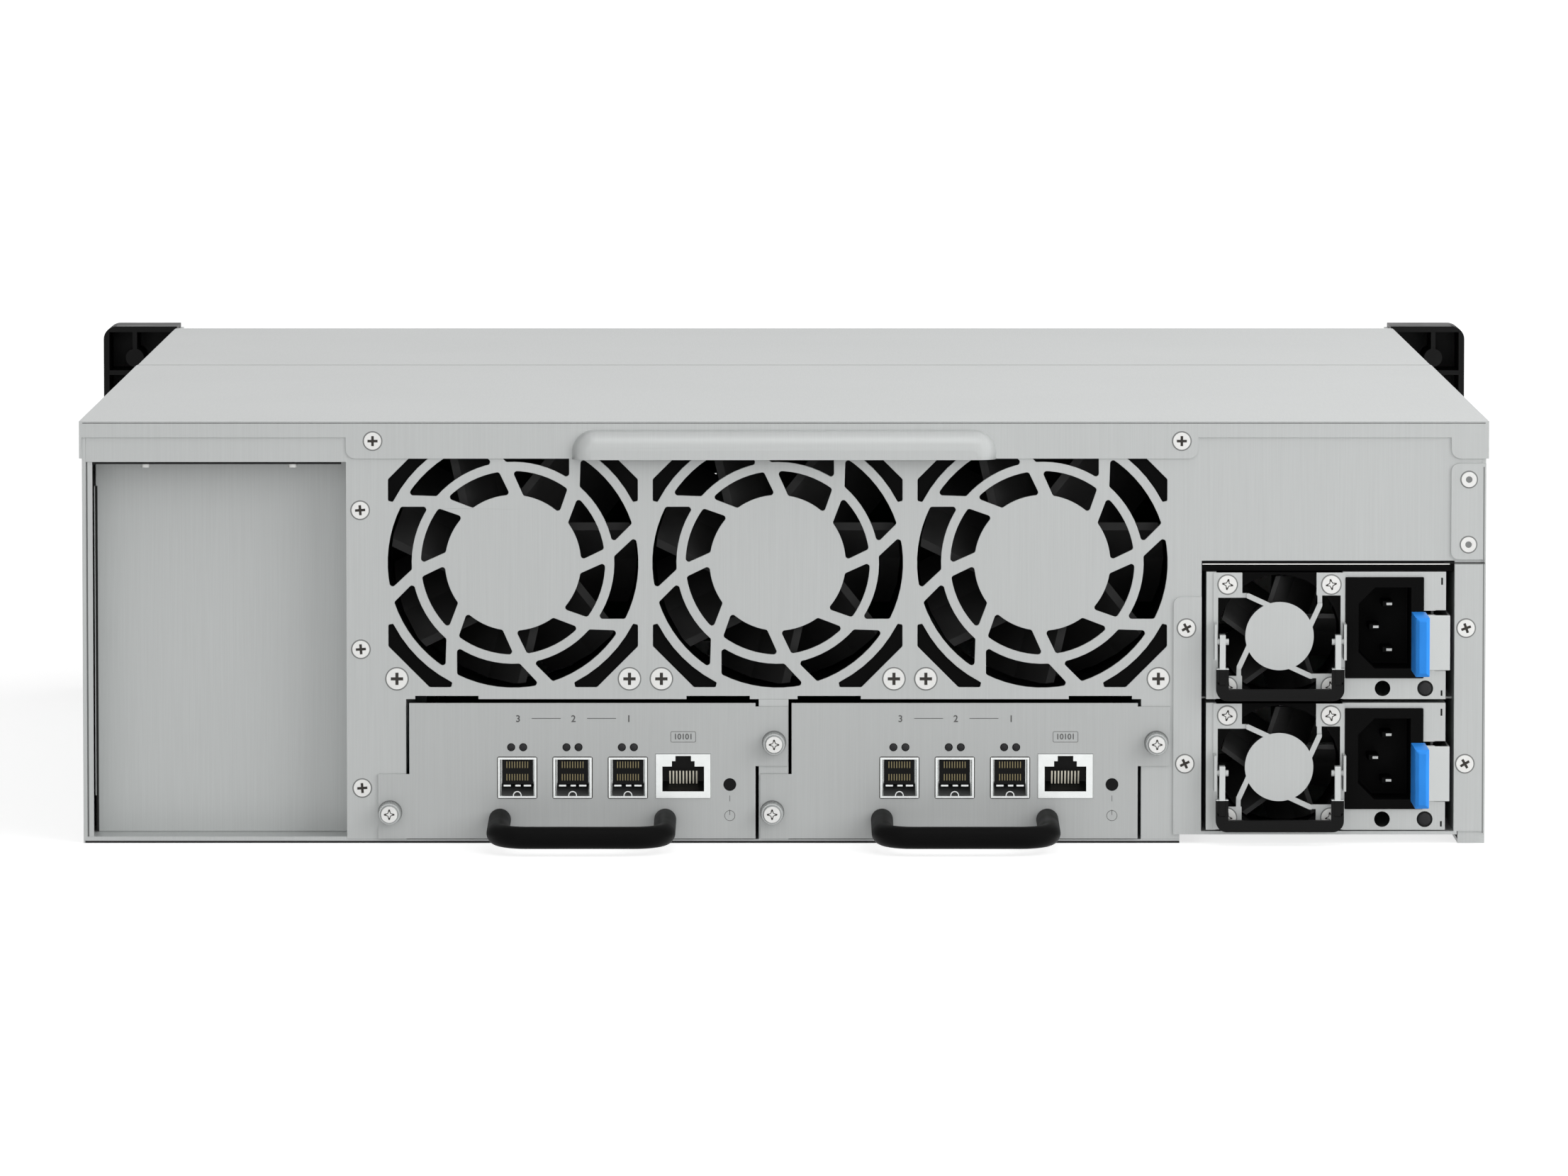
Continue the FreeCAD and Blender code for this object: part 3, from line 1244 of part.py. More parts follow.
def drive_cage():
    """Upright partitions with a ledge for each tray, between a floor and a roof sheet."""
    long = ("y_tray", "y_rack")
    half = "cage_width / 2"
    floor = "sheet + cage_sheet"
    roof = "cage_top - cage_sheet"
    pieces = [
        block("cage_floor", (f"-{half}", half), long, ("sheet", floor)),
        block("cage_roof", (f"-{half}", half), long, (roof, "cage_top")),
    ]
    for column in range(COLUMNS + 1):
        left = f"{column} * column_pitch - {half}"
        right = f"{left} + cage_sheet"
        pieces.append(block(f"partition_{column}", (left, right), long, (floor, roof)))
        sides = [(f"{left} - ledge_width", left)] if column else []
        if column < COLUMNS:
            sides.append((right, f"{right} + ledge_width"))
        for row in range(1, ROWS):
            top = f"{floor} + {row} * row_pitch"
            for side in sides:
                pieces.append(block(f"ledge_{len(pieces)}", side, long, (f"{top} - cage_sheet", top)))
    node("drive_cage", group("drive_cage", pieces))


def backplane():
    """The board across the case, with a connector behind each tray and vents between the rows."""
    deep = ("y_backplane", "y_backplane + backplane_sheet")
    half = "half_inner - backplane_gap"
    pieces = [block("backplane_sheet", (f"-({half})", half), deep, ("sheet", "cage_top"))]
    tools = []
    for column in range(COLUMNS):
        middle = f"({column} + 0.5) * column_pitch + cage_sheet / 2 - cage_width / 2"
        for row in range(ROWS):
            low = f"sheet + cage_sheet + {row} * row_pitch + connector_lift"
            pieces.append(block(f"connector_{column}_{row}",
                                (f"{middle} - connector_width / 2", f"{middle} + connector_width / 2"),
                                ("y_backplane", "y_tray - slide_gap"), (low, f"{low} + connector_height")))
            vent_low = f"{low} + connector_height + connector_lift"
            tools.append(block(f"vent_{column}_{row}",
                               (f"{middle} - vent_width / 2", f"{middle} + vent_width / 2"),
                               ("y_backplane - cut_margin", "y_backplane + backplane_sheet + cut_margin"),
                               (vent_low, f"{vent_low} + vent_height")))
    node("backplane", cut("backplane", fuse("backplane_board", pieces), tools))


def drive_tray(name):
    """An open tray for one drive with a vented bezel and its lever, about its middle at the rack plane."""
    half = "tray_width / 2"
    long = ("-tray_length", "0")
    floor = block(f"{name}_floor", (f"-{half}", half), long, ("0", "tray_sheet"))
    window = block(f"{name}_window", (f"tray_rim - {half}", f"{half} - tray_rim"),
                   ("tray_rim - tray_length", "-tray_rim"), ("-cut_margin", "tray_sheet + cut_margin"))
    edges = {"left": (f"-{half}", f"tray_sheet - {half}"), "right": (f"{half} - tray_sheet", half)}
    rails = [block(f"{name}_rail_{side}", x, long, ("0", "tray_wall")) for side, x in edges.items()]
    frame = fuse(f"{name}_frame", [cut(f"{name}_base", floor, [window]), *rails])
    bezel = block(f"{name}_bezel_block", (f"-{half}", half), ("0", "bezel_depth"), ("0", "tray_height"))
    recess_x = (f"bezel_frame - {half}", f"{half} - bezel_frame")
    tools = [block(f"{name}_recess", recess_x, ("bezel_depth - bezel_recess", "bezel_depth + cut_margin"),
                   ("bezel_frame", "tray_height - bezel_frame"))]
    vent_left = f"bezel_frame - {half} + lever_width + bezel_bar"
    tools.append(block(f"{name}_vent", (vent_left, f"{half} - bezel_frame - bezel_bar"),
                       ("-cut_margin", "bezel_depth + cut_margin"),
                       ("bezel_frame + bezel_bar", "tray_height - bezel_frame - bezel_bar")))
    lever = block(f"{name}_lever",
                  (f"bezel_frame - {half} + lever_gap", f"bezel_frame - {half} + lever_width"),
                  ("bezel_depth - bezel_recess", "bezel_depth - seat_gap"),
                  ("bezel_frame + lever_gap", "tray_height - bezel_frame - lever_gap"))
    return group(name, [frame, cut(f"{name}_bezel", bezel, tools), lever])


def drive_trays():
    """A tray in every cell of the cage, numbered by row from the top and column from the left."""
    for row in range(ROWS):
        for column in range(COLUMNS):
            label = f"drive_tray_{ROWS - row}{column + 1}"
            x = f"({column} + 0.5) * column_pitch + cage_sheet / 2 - cage_width / 2"
            z = f"sheet + cage_sheet + {row} * row_pitch + slide_gap"
            node(label, place(drive_tray(label), x, "y_rack", z))


def rack_ear(name, mirrored):
    """A moulded ear, open at the back, with ribs, a screw boss and two slotted rack holes."""
    wide = value("ear_width")
    deep = value("ear_depth")
    low = value("ear_lift")
    top = value("body_height") + value("ear_proud")
    rim = value("ear_rim")
    solid = Part.makeBox(wide, deep, top - low, FreeCAD.Vector(0, 0, low))
    corners = [edge for edge in solid.Edges
               if edge.CenterOfMass.x > wide - TOUCH and edge.BoundBox.YLength > deep - TOUCH]
    ear = solid.makeFillet(value("ear_round"), corners)
    hollow_depth = deep - value("ear_front")
    hollow = Part.makeBox(wide - 2 * rim, hollow_depth, top - low - 2 * rim,
                          FreeCAD.Vector(rim, 0, low + rim))
    boss_x = wide / 2 + rim
    boss_z = top - value("ear_boss_drop")
    kept = [Part.makeCylinder(value("ear_boss"), hollow_depth, FreeCAD.Vector(boss_x, 0, boss_z), Y_AXIS)]
    rib = value("ear_rib")
    kept.append(Part.makeBox(rib, hollow_depth, top - boss_z, FreeCAD.Vector(boss_x - rib / 2, 0, boss_z)))
    rib_low = top - value("ear_rib_drop") - rib
    kept.append(Part.makeBox(wide, hollow_depth, rib, FreeCAD.Vector(0, 0, rib_low)))
    slots = []
    slot_x = wide - value("ear_slot_offset")
    long = value("ear_slot_length")
    radius = value("ear_slot_width") / 2
    middle = value("body_height") / 2
    for side in (-1, 1):
        z = middle + side * value("ear_slot_pitch") / 2
        slots.append(slot_form(slot_x, z, long, radius, deep))
    for keep in kept:
        hollow = hollow.cut(keep)
    ear = ear.cut(hollow)
    for slot in slots:
        ear = ear.cut(slot)
    if mirrored:
        ear = ear.mirror(FreeCAD.Vector(), X_AXIS)
    return formed(name, ear)


def slot_form(x, z, length, radius, depth):
    """A round-ended slot along X, as a solid from the ear's back plane."""
    half = length / 2 - radius
    ends = [FreeCAD.Vector(x - half, 0, z), FreeCAD.Vector(x + half, 0, z)]
    bar = Part.makeBox(2 * half, depth, 2 * radius, FreeCAD.Vector(x - half, 0, z - radius))
    for end in ends:
        bar = bar.fuse(Part.makeCylinder(radius, depth, end, Y_AXIS))
    return bar.removeSplitter()


def rack_ears():
    node("ear_right", place(rack_ear("ear_right", False), "half_width", "y_rack", "0"))
    node("ear_left", place(rack_ear("ear_left", True), "-half_width", "y_rack", "0"))


def write_nodes():
    """Check every object and every sub-part, then write one file per sub-part."""
    doc.recompute()
    for item in doc.Objects:
        if "Invalid" in item.State or "Error" in item.State:
            raise RuntimeError(f"{item.Name} did not build")
    for piece in nodes:
        if piece.Shape.isNull() or not piece.Shape.isValid() or not piece.Shape.Solids:
            raise RuntimeError(f"{piece.Label} has no valid solid")
    os.makedirs("parts", exist_ok=True)
    for piece in nodes:
        piece.Shape.exportStep(f"parts/{piece.Label}.step")
    print(f"{len(nodes)} sub-parts written")


fill_sheet()
chassis_base()
rear_panel()
rear_top_cover()
front_top_cover()
side_bay_blank()
canister_cage()
psu_cage()
case_fans()
for module in MODULES:
    canister(module)
    power_supply(module)
drive_cage()
backplane()
drive_trays()
rack_ears()
write_nodes()
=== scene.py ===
# %% [markdown]
# # A rack disk shelf, seen from its rear side
#
# The real shelf is a folded, zinc-coated case, three rack units high. Its rear side holds three fans
# behind a stamped grille, two interface canisters with rod handles, two power supplies with blue
# release tabs, and one blanked bay. The CAD frame has all of these at real size, with their joints.
# This lesson dresses it in Blender: finishes, small pieces, and last a white studio and the camera.

# %% Load the frame
import json
import math

import bmesh
import bpy
from mathutils import Matrix, Vector


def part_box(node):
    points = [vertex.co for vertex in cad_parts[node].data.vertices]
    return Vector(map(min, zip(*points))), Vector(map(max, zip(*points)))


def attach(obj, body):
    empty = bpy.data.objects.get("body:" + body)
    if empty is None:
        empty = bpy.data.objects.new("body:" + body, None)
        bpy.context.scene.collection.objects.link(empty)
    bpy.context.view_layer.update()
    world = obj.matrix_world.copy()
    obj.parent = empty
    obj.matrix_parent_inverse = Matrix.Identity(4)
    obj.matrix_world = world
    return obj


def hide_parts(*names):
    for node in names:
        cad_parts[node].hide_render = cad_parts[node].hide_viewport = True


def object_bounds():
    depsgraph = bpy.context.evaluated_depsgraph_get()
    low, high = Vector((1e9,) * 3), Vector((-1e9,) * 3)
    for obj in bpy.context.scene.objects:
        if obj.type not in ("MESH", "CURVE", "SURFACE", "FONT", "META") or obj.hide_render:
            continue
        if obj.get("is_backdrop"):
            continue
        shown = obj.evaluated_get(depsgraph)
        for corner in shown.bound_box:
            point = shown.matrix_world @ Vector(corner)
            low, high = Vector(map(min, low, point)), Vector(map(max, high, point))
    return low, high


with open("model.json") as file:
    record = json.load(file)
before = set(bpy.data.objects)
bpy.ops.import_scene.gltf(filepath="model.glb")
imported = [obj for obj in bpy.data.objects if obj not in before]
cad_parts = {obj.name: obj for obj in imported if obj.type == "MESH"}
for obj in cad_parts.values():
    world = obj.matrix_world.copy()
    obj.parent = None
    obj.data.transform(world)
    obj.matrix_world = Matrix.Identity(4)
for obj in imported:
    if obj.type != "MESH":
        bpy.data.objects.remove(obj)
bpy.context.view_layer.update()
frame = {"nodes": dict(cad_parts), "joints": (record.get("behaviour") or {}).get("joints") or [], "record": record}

# %% [markdown]
# ## Measuring the frame
#
# Sheet-metal work is measured in millimetres, and Blender counts in metres. Sizes could be typed in
# from a drawing, but a change in the CAD would leave them behind. So most added pieces take their
# place from a CAD node's box or a joint's point.

# %% Boxes and joints in millimetres
MM = 0.001
COVER_SHEET, FLANGE_SHEET = 0.8, 1.0
JOINT_AT = {joint["name"]: Vector(joint["pos_m"]) / MM for joint in frame["joints"] if "pos_m" in joint}


def span(node):
    """Lowest and highest corner of a CAD node, in millimetres."""
    low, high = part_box(node)
    return Vector(low) / MM, Vector(high) / MM


def middle(node):
    """The middle of a CAD node's box, in millimetres."""
    low, high = span(node)
    return (low + high) / 2


REAR = span("rear_panel")[0].y
COVER_FACE = REAR - COVER_SHEET
FLANGE_FACE = REAR - FLANGE_SHEET
FANS = [JOINT_AT[f"fan_{number}_spin"] for number in (1, 2, 3)]
print(f"rear face at {REAR:.1f} mm, fans at", [round(fan.x, 1) for fan in FANS])

# %% [markdown]
# ## Finishes: one shader and the object's own noise
#
# Every surface of the shelf is zinc, nickel, paint or moulded plastic, and one principled shader can be
# each of them. A photographed texture would bring its own light along, so the small unevenness comes
# from noise nodes. They read the object's own coordinates, so the grain stays on a tray that slides.

# %% A shader and a noise value
NOISE_MIDDLE = (0.3, 0.7)


def feed(tree, node, inputs):
    """Give each named input of a node a plain value, or a link to another node's output."""
    for key, value in inputs.items():
        if isinstance(value, bpy.types.NodeSocket):
            tree.links.new(value, node.inputs[key])
        else:
            node.inputs[key].default_value = value
    return node


def wired(tree, kind, inputs, operation=None):
    """A new shader node of a kind, with its inputs fed."""
    made = tree.nodes.new("ShaderNode" + kind)
    if operation:
        made.operation = operation
    return feed(tree, made, inputs)


def finish(name, colour, metallic, roughness, specular=0.5):
    """A principled material with its node tree and its shader."""
    material = bpy.data.materials.new(name)
    material.use_nodes = True
    tree = material.node_tree
    shader = tree.nodes["Principled BSDF"]
    feed(tree, shader, {"Base Color": (*colour, 1), "Metallic": metallic, "Roughness": roughness,
                        "Specular IOR Level": specular})
    return material, tree, shader


def own_place(tree):
    """Coordinates that stay with the object when it moves."""
    return wired(tree, "TexCoord", {}).outputs["Object"]


def noise(tree, scale, detail, stretch=(1, 1, 1)):
    """A noise value over the object's own coordinates, stretched per axis."""
    mapped = wired(tree, "Mapping", {"Vector": own_place(tree), "Scale": stretch}).outputs["Vector"]
    return wired(tree, "TexNoise", {"Vector": mapped, "Scale": scale, "Detail": detail}).outputs["Fac"]


def between(tree, value, low, high, given=NOISE_MIDDLE):
    """A value mapped onto a range; by default the value is the middle of a noise."""
    ends = {"From Min": given[0], "From Max": given[1], "To Min": low, "To Max": high}
    return wired(tree, "MapRange", {"Value": value, **ends}).outputs["Result"]


print("noise is used between", NOISE_MIDDLE)

# %% [markdown]
# ## Brushed sheet
#
# Zinc-coated sheet has a faint grain in the rolling direction and soft smudges from handling. An image
# could show both, but a noise that is squeezed across the grain works at any size. It tints the colour
# by two or three percent and drives a bump of a hundredth of a millimetre. A slow noise moves the
# roughness, as finger marks do. With an even grain the recipe serves for plated screws and contacts.

# %% Metal finishes
ZINC_HUE, NICKEL_HUE = (0.972, 1.0, 0.992), (1.0, 1.0, 0.98)
GOLD_HUE, PALE_GOLD_HUE = (1.0, 0.83, 0.42), (1.0, 0.95, 0.8)
ROLLED, EVEN, FINE = (3200, 90, 40), (300, 300, 300), (400, 400, 400)


def tint(tree, shader, colour, value, low, high):
    """Multiply a colour by a value that runs between two shares."""
    mix = wired(tree, "VectorMath", {0: colour, "Scale": between(tree, value, low, high)}, "SCALE")
    feed(tree, shader, {"Base Color": mix.outputs["Vector"]})


def bump(tree, shader, value, strength, distance):
    """Let a value raise and lower the surface."""
    raised = wired(tree, "Bump", {"Strength": strength, "Distance": distance, "Height": value})
    feed(tree, shader, {"Normal": raised.outputs["Normal"]})


def brushed_sheet(name, tone, metallic=0.55, roughness=0.4, grain=ROLLED, hue=ZINC_HUE):
    """Metal with a grain and smudges; zinc-coated sheet unless a hue is given."""
    colour = tuple(tone * share for share in hue)
    material, tree, shader = finish(name, colour, metallic, roughness)
    fine = noise(tree, 1.0, 3.0, grain)
    smudge = noise(tree, 14.0, 2.0)
    tint(tree, shader, colour, fine, 0.972, 1.022)
    feed(tree, shader, {"Roughness": between(tree, smudge, roughness - 0.01, roughness + 0.012)})
    bump(tree, shader, fine, 0.06, 0.00001)
    return material


SHEET = brushed_sheet("case_sheet", 0.6, 0.28)
CANISTER = brushed_sheet("canister_sheet", 0.55, 0.28)
SUPPLY = brushed_sheet("psu_sheet", 0.55)
PLATED = brushed_sheet("plated_steel", 0.88, 0.35, 0.35, EVEN, NICKEL_HUE)
# This brighter sheet tone is a painted highlight for the light that the cover's bend catches.
FOLD_HIGHLIGHT = brushed_sheet("fold_highlight", 0.85, 0.3, 0.35)
SHELL = brushed_sheet("port_shell", 0.8, 0.8, 0.22, FINE)
# This dark sheet tone is painted shade in the dimples round the screw heads and thumbscrews, in the seam between
# the covers and along edge lines at the walls; it also colours the sunken rivet pins.
SHADE_GREY = brushed_sheet("shade_grey_sheet", 0.24, 0.4, 0.5)
GOLD = brushed_sheet("contact_gold", 0.3, 0.3, 0.35, EVEN, GOLD_HUE)
PALE_GOLD = brushed_sheet("jack_contact", 1.0, 0.0, 0.4, EVEN, PALE_GOLD_HUE)
DARK_STEEL = brushed_sheet("latch_steel", 0.1, 0.4, 0.4, EVEN)
# This bright tone on the ends of the inlet contacts is partly their plated colour and partly a painted highlight.
TIP_HIGHLIGHT = brushed_sheet("contact_tip_highlight", 0.7, 0.2, 0.35, EVEN)
print("metal finishes:", len(bpy.data.materials))

# %% [markdown]
# ## Mouldings, board and stamped marks
#
# Ears, fans, inlets and trays are moulded in matt black plastic with a fine speckle and hardly any gloss.
# A plain black would swallow their shape, so the speckle goes into a bump and a slow wear noise moves
# tint and sheen. Boards and printed figures use the same recipe with another colour, and so do the dark
# tones that paint the shade in gaps and recesses.

# %% Plastic finishes
GRIP_COLOUR = (0.004, 0.004, 0.004)
BLUE_COLOUR = (0.038, 0.325, 1.0)
SPECKLE, SPECKLE_DEPTH = 2600.0, 0.00002


def moulding(name, colour, roughness, specular=0.14):
    """Moulded plastic with a fine speckle and a little wear in its sheen."""
    material, tree, shader = finish(name, colour, 0.0, roughness, specular)
    grain = noise(tree, SPECKLE, 2.0)
    wear = noise(tree, 60.0, 3.0)
    tint(tree, shader, colour, wear, 0.9, 1.1)
    feed(tree, shader, {"Roughness": between(tree, wear, roughness - 0.06, roughness + 0.08)})
    bump(tree, shader, grain, 0.1, SPECKLE_DEPTH)
    return material


# This near-black is painted shade, laid in the gaps round the bay and along dark edge lines of the case.
GAP_SHADE = moulding("gap_shade_dark", (0.02, 0.02, 0.02), 0.6)
# This dark tone is painted shade, laid in the cross recesses of the screws and in the gap round each port shell.
RECESS_SHADE = moulding("recess_shade_dark", (0.06, 0.055, 0.05), 0.5)
BLACK = moulding("black_moulding", (0.003, 0.003, 0.003), 0.42)
INLET = moulding("inlet_black", (0.0015, 0.0015, 0.0015), 0.5, specular=0.06)
FAN_FRAME = moulding("fan_frame_black", (0.002, 0.002, 0.002), 0.55, specular=0.05)
FAN_BLADE = moulding("fan_blade_black", (0.04, 0.04, 0.04), 0.5)
GRIP = moulding("grip_black", GRIP_COLOUR, 0.5, specular=0.05)
TRAY = moulding("tray_moulding", (0.03, 0.03, 0.033), 0.45)
BLUE = moulding("release_blue", BLUE_COLOUR, 0.4)
BOARD = moulding("board_green", (0.02, 0.12, 0.05), 0.4)
LENS = moulding("lamp_lens", (0.035, 0.035, 0.037), 0.25)
MARK = moulding("stamped_mark", (0.16, 0.16, 0.16), 0.6)
print("metal and plastic finishes:", len(bpy.data.materials))

# %% [markdown]
# ## Coats on the CAD nodes
#
# The record gives every CAD node a material slot, such as case_sheet or board. Coating node by node
# would be a long list. A table from slot to finish does it in one loop; only the fan rotors, which
# share a slot with their frames, are told apart by name.

# %% Coat the nodes
SLOT_FINISH = {
    "case_sheet": SHEET, "ear_moulding": BLACK, "fan_moulding": FAN_FRAME, "board": BOARD,
    "canister_sheet": CANISTER, "handle_black": GRIP, "screw_steel": PLATED, "button_black": BLACK,
    "port_shell": SHELL, "psu_sheet": SUPPLY, "guard_steel": SUPPLY, "inlet_black": INLET,
    "release_blue": BLUE, "tray_black": TRAY,
}
SLOT_OF = {part["node"]: part["material_slot"] for part in frame["record"]["subparts"]}
for node, thing in frame["nodes"].items():
    thing.data.materials.clear()
    thing.data.materials.append(FAN_BLADE if "rotor" in node else SLOT_FINISH[SLOT_OF[node]])
print(f"{len(frame['nodes'])} nodes coated from {len(SLOT_FINISH)} slots")

# %% [markdown]
# ## Bail grips and release tabs
#
# A supply's bail handle is a steel strap with a black grip on its lower end, and the release latch is a
# steel arm with a blue tab on its tip. Each is one piece in the CAD. Splitting the mesh would break
# that, so the material itself changes: past a level along one axis a second shader takes over. The
# latch is kept out of bounced light, so that its blue doesn't stain the steel nearby.

# %% Two materials on one piece
BAIL_GRIP = 9.7
TAB_ROOT = 1.01
STRAP_COLOUR = (0.62, 0.64, 0.635)


def mixed(tree, share, first, second, output="Material Output"):
    """Show a mix of two shaders on the surface."""
    mix = wired(tree, "MixShader", {"Fac": share, 1: first, 2: second})
    feed(tree, tree.nodes[output], {"Surface": mix.outputs["Shader"]})


def turns_to(material, axis, level, colour, metallic, roughness):
    """Past a level along one axis of the node, the surface is made of something else."""
    tree = material.node_tree
    coat = {"Base Color": (*colour, 1), "Metallic": metallic, "Roughness": roughness}
    second = wired(tree, "BsdfPrincipled", coat)
    axes = wired(tree, "SeparateXYZ", {"Vector": own_place(tree)})
    past = wired(tree, "Math", {0: axes.outputs[axis], 1: level * MM}, "GREATER_THAN")
    first = tree.nodes["Principled BSDF"]
    mixed(tree, past.outputs["Value"], first.outputs["BSDF"], second.outputs["BSDF"])
    return material


SUPPLIES = ("psu_1", "psu_2")
for name in SUPPLIES:
    grip_top = span(f"{name}_handle")[0].z + BAIL_GRIP
    grip = moulding(f"{name}_bail_grip", GRIP_COLOUR, 0.5)
    bail = frame["nodes"][f"{name}_handle"]
    bail.data.materials[0] = turns_to(grip, "Z", grip_top, STRAP_COLOUR, 0.5, 0.4)
    tab_root = span(f"{name}_inlet")[0].y - TAB_ROOT
    tab = moulding(f"{name}_latch_tab", BLUE_COLOUR, 0.4)
    latch = frame["nodes"][f"{name}_latch"]
    latch.data.materials[0] = turns_to(tab, "Y", tab_root, STRAP_COLOUR, 0.5, 0.42)
    latch.visible_diffuse = False
    latch.visible_glossy = False
    print(f"{name}: grip up to {grip_top:.1f} mm, tab out from {tab_root:.1f} mm")

# %% [markdown]
# ## Rounded edges on the CAD sheets
#
# Folded sheet and moulded plastic never end in a knife edge: a small radius catches a line of light. It
# could go into the CAD, at the price of thousands of facets. A bevel modifier rounds only what is
# drawn, after a weld that joins doubled points, because a bevel has to know which faces meet.

# %% Edge rounding
EDGE = {"rear_top_cover": 0.5, "front_top_cover": 0.5, "chassis_base": 0.4, "side_bay_blank": 0.25,
        "ear_left": 0.4, "ear_right": 0.4, "psu_1_inlet": 0.3, "psu_2_inlet": 0.3,
        "psu_1_handle": 0.5, "psu_2_handle": 0.5, "psu_1_latch": 0.3, "psu_2_latch": 0.3}
SAME_POINT = 0.000002
FOLD_ANGLE = 40
for node, width in EDGE.items():
    weld = frame["nodes"][node].modifiers.new("join", "WELD")
    weld.merge_threshold = SAME_POINT
    round_edge = frame["nodes"][node].modifiers.new("round", "BEVEL")
    round_edge.width = width * MM
    round_edge.segments = 2
    round_edge.limit_method = "ANGLE"
    round_edge.angle_limit = math.radians(FOLD_ANGLE)
    round_edge.harden_normals = True
print(f"{len(EDGE)} nodes with rounded edges")

# %% [markdown]
# ## Bricks, bars and turned pieces
#
# The small pieces of the shelf are sawn, drawn or turned. Blender's primitives would need a scale and
# a rotation for each copy. A form in this lesson is a pair of lists instead, points in millimetres and
# faces. A bar is a row of rings along a path, and a turned piece a row of rings about one line.

# %% Solid forms


def brick(x, y, z):
    """A box between two values along each axis."""
    points = [(a, b, c) for a in x for b in y for c in z]
    faces = [(0, 1, 3, 2), (4, 6, 7, 5), (0, 4, 5, 1), (2, 3, 7, 6), (0, 2, 6, 4), (1, 5, 7, 3)]
    return points, faces


def around(centre, half):
    """The range of a width about its middle."""
    return centre - half, centre + half


def moved(pair, by):
    """A range, moved along its axis."""
    return pair[0] + by, pair[1] + by


def circle(x, z, radius, sides=40):
    """A round outline in the rear plane."""
    angles = [2 * math.pi * step / sides for step in range(sides)]
    return [(x + radius * math.cos(angle), z + radius * math.sin(angle)) for angle in angles]


def skinned(rings):
    """A closed form over rows of points: walls between the rings, and both ends filled."""
    sides, faces = len(rings[0]), []
    for low in range(0, (len(rings) - 1) * sides, sides):
        for step in range(sides):
            after = (step + 1) % sides
            faces.append((low + step, low + after, low + sides + after, low + sides + step))
    last = (len(rings) - 1) * sides
    faces += [tuple(range(sides)), tuple(range(last, last + sides))]
    return [point for ring in rings for point in ring], faces


def turned(centre, profile, sides=32):
    """A form turned about +Y from (radius, depth) pairs, outermost face first."""
    return skinned([[(x, centre.y + depth, z) for x, z in circle(centre.x, centre.z, radius, sides)]
                    for radius, depth in profile])


def swept(path, radius, sides=24):
    """A round bar along a line of points."""
    rings = []
    for number, at in enumerate(path):
        along = (path[min(number + 1, len(path) - 1)] - path[max(number - 1, 0)]).normalized()
        if number == 0:
            across = along.orthogonal().normalized()
        across = (across - along * across.dot(along)).normalized()
        up = along.cross(across)
        rings.append([tuple(at + across * a + up * b) for a, b in circle(0, 0, radius, sides)])
    return skinned(rings)


print("a brick has", len(brick((0, 1), (0, 1), (0, 1))[1]), "faces")

# %% [markdown]
# ## Stamped plates
#
# The rear panel, screw heads and printed figures are flat: an outline with holes and a thickness.
# Cutting each hole with a boolean is slow and can leave slivers. A 2D curve fills its outlines at
# once, holes included, and bevels them by itself. It gives points and faces and is then thrown away.

# %% Plates from outlines


def rectangle(x, z):
    """A four-cornered outline in the rear plane."""
    return [(x[0], z[0]), (x[1], z[0]), (x[1], z[1]), (x[0], z[1])]


def drawn(curve):
    """Points and faces of a curve as Blender fills it; the curve is removed."""
    holder = bpy.data.objects.new("outline", curve)
    bpy.context.scene.collection.objects.link(holder)
    bpy.context.view_layer.update()
    mesh = bpy.data.meshes.new_from_object(holder.evaluated_get(bpy.context.evaluated_depsgraph_get()))
    points = [tuple(vertex.co) for vertex in mesh.vertices]
    faces = [tuple(polygon.vertices) for polygon in mesh.polygons]
    bpy.data.objects.remove(holder)
    bpy.data.curves.remove(curve)
    bpy.data.meshes.remove(mesh)
    return points, faces


def plate(outlines, face, thick, edge=0.0):
    """A plate whose outlines lie in the rear plane; its outer face is at depth face."""
    curve = bpy.data.curves.new("outline", "CURVE")
    curve.dimensions = "2D"
    curve.fill_mode = "BOTH"
    curve.extrude = (thick / 2 - edge) * MM
    curve.bevel_depth = edge * MM
    curve.offset = -edge * MM
    curve.bevel_resolution = 1
    for outline in outlines:
        spline = curve.splines.new("POLY")
        spline.points.add(len(outline) - 1)
        spline.use_cyclic_u = True
        for point, (x, z) in zip(spline.points, outline):
            point.co = (x * MM, z * MM, 0, 1)
    points, faces = drawn(curve)
    return [(x / MM, face + thick / 2 - z / MM, y / MM) for x, y, z in points], faces


print("a washer has", len(plate([circle(0, 0, 4), circle(0, 0, 2)], 0, 1)[1]), "faces")

# %% [markdown]
# ## From forms to a piece
#
# A port on the real shelf is one thing, though it has several materials. Objects could be joined by
# hand, but here a piece is built in one go: its forms share a mesh, each face keeps its finish, and
# bmesh turns the faces outward and marks sharp edges. The piece rides on a body.

# %% Make a piece


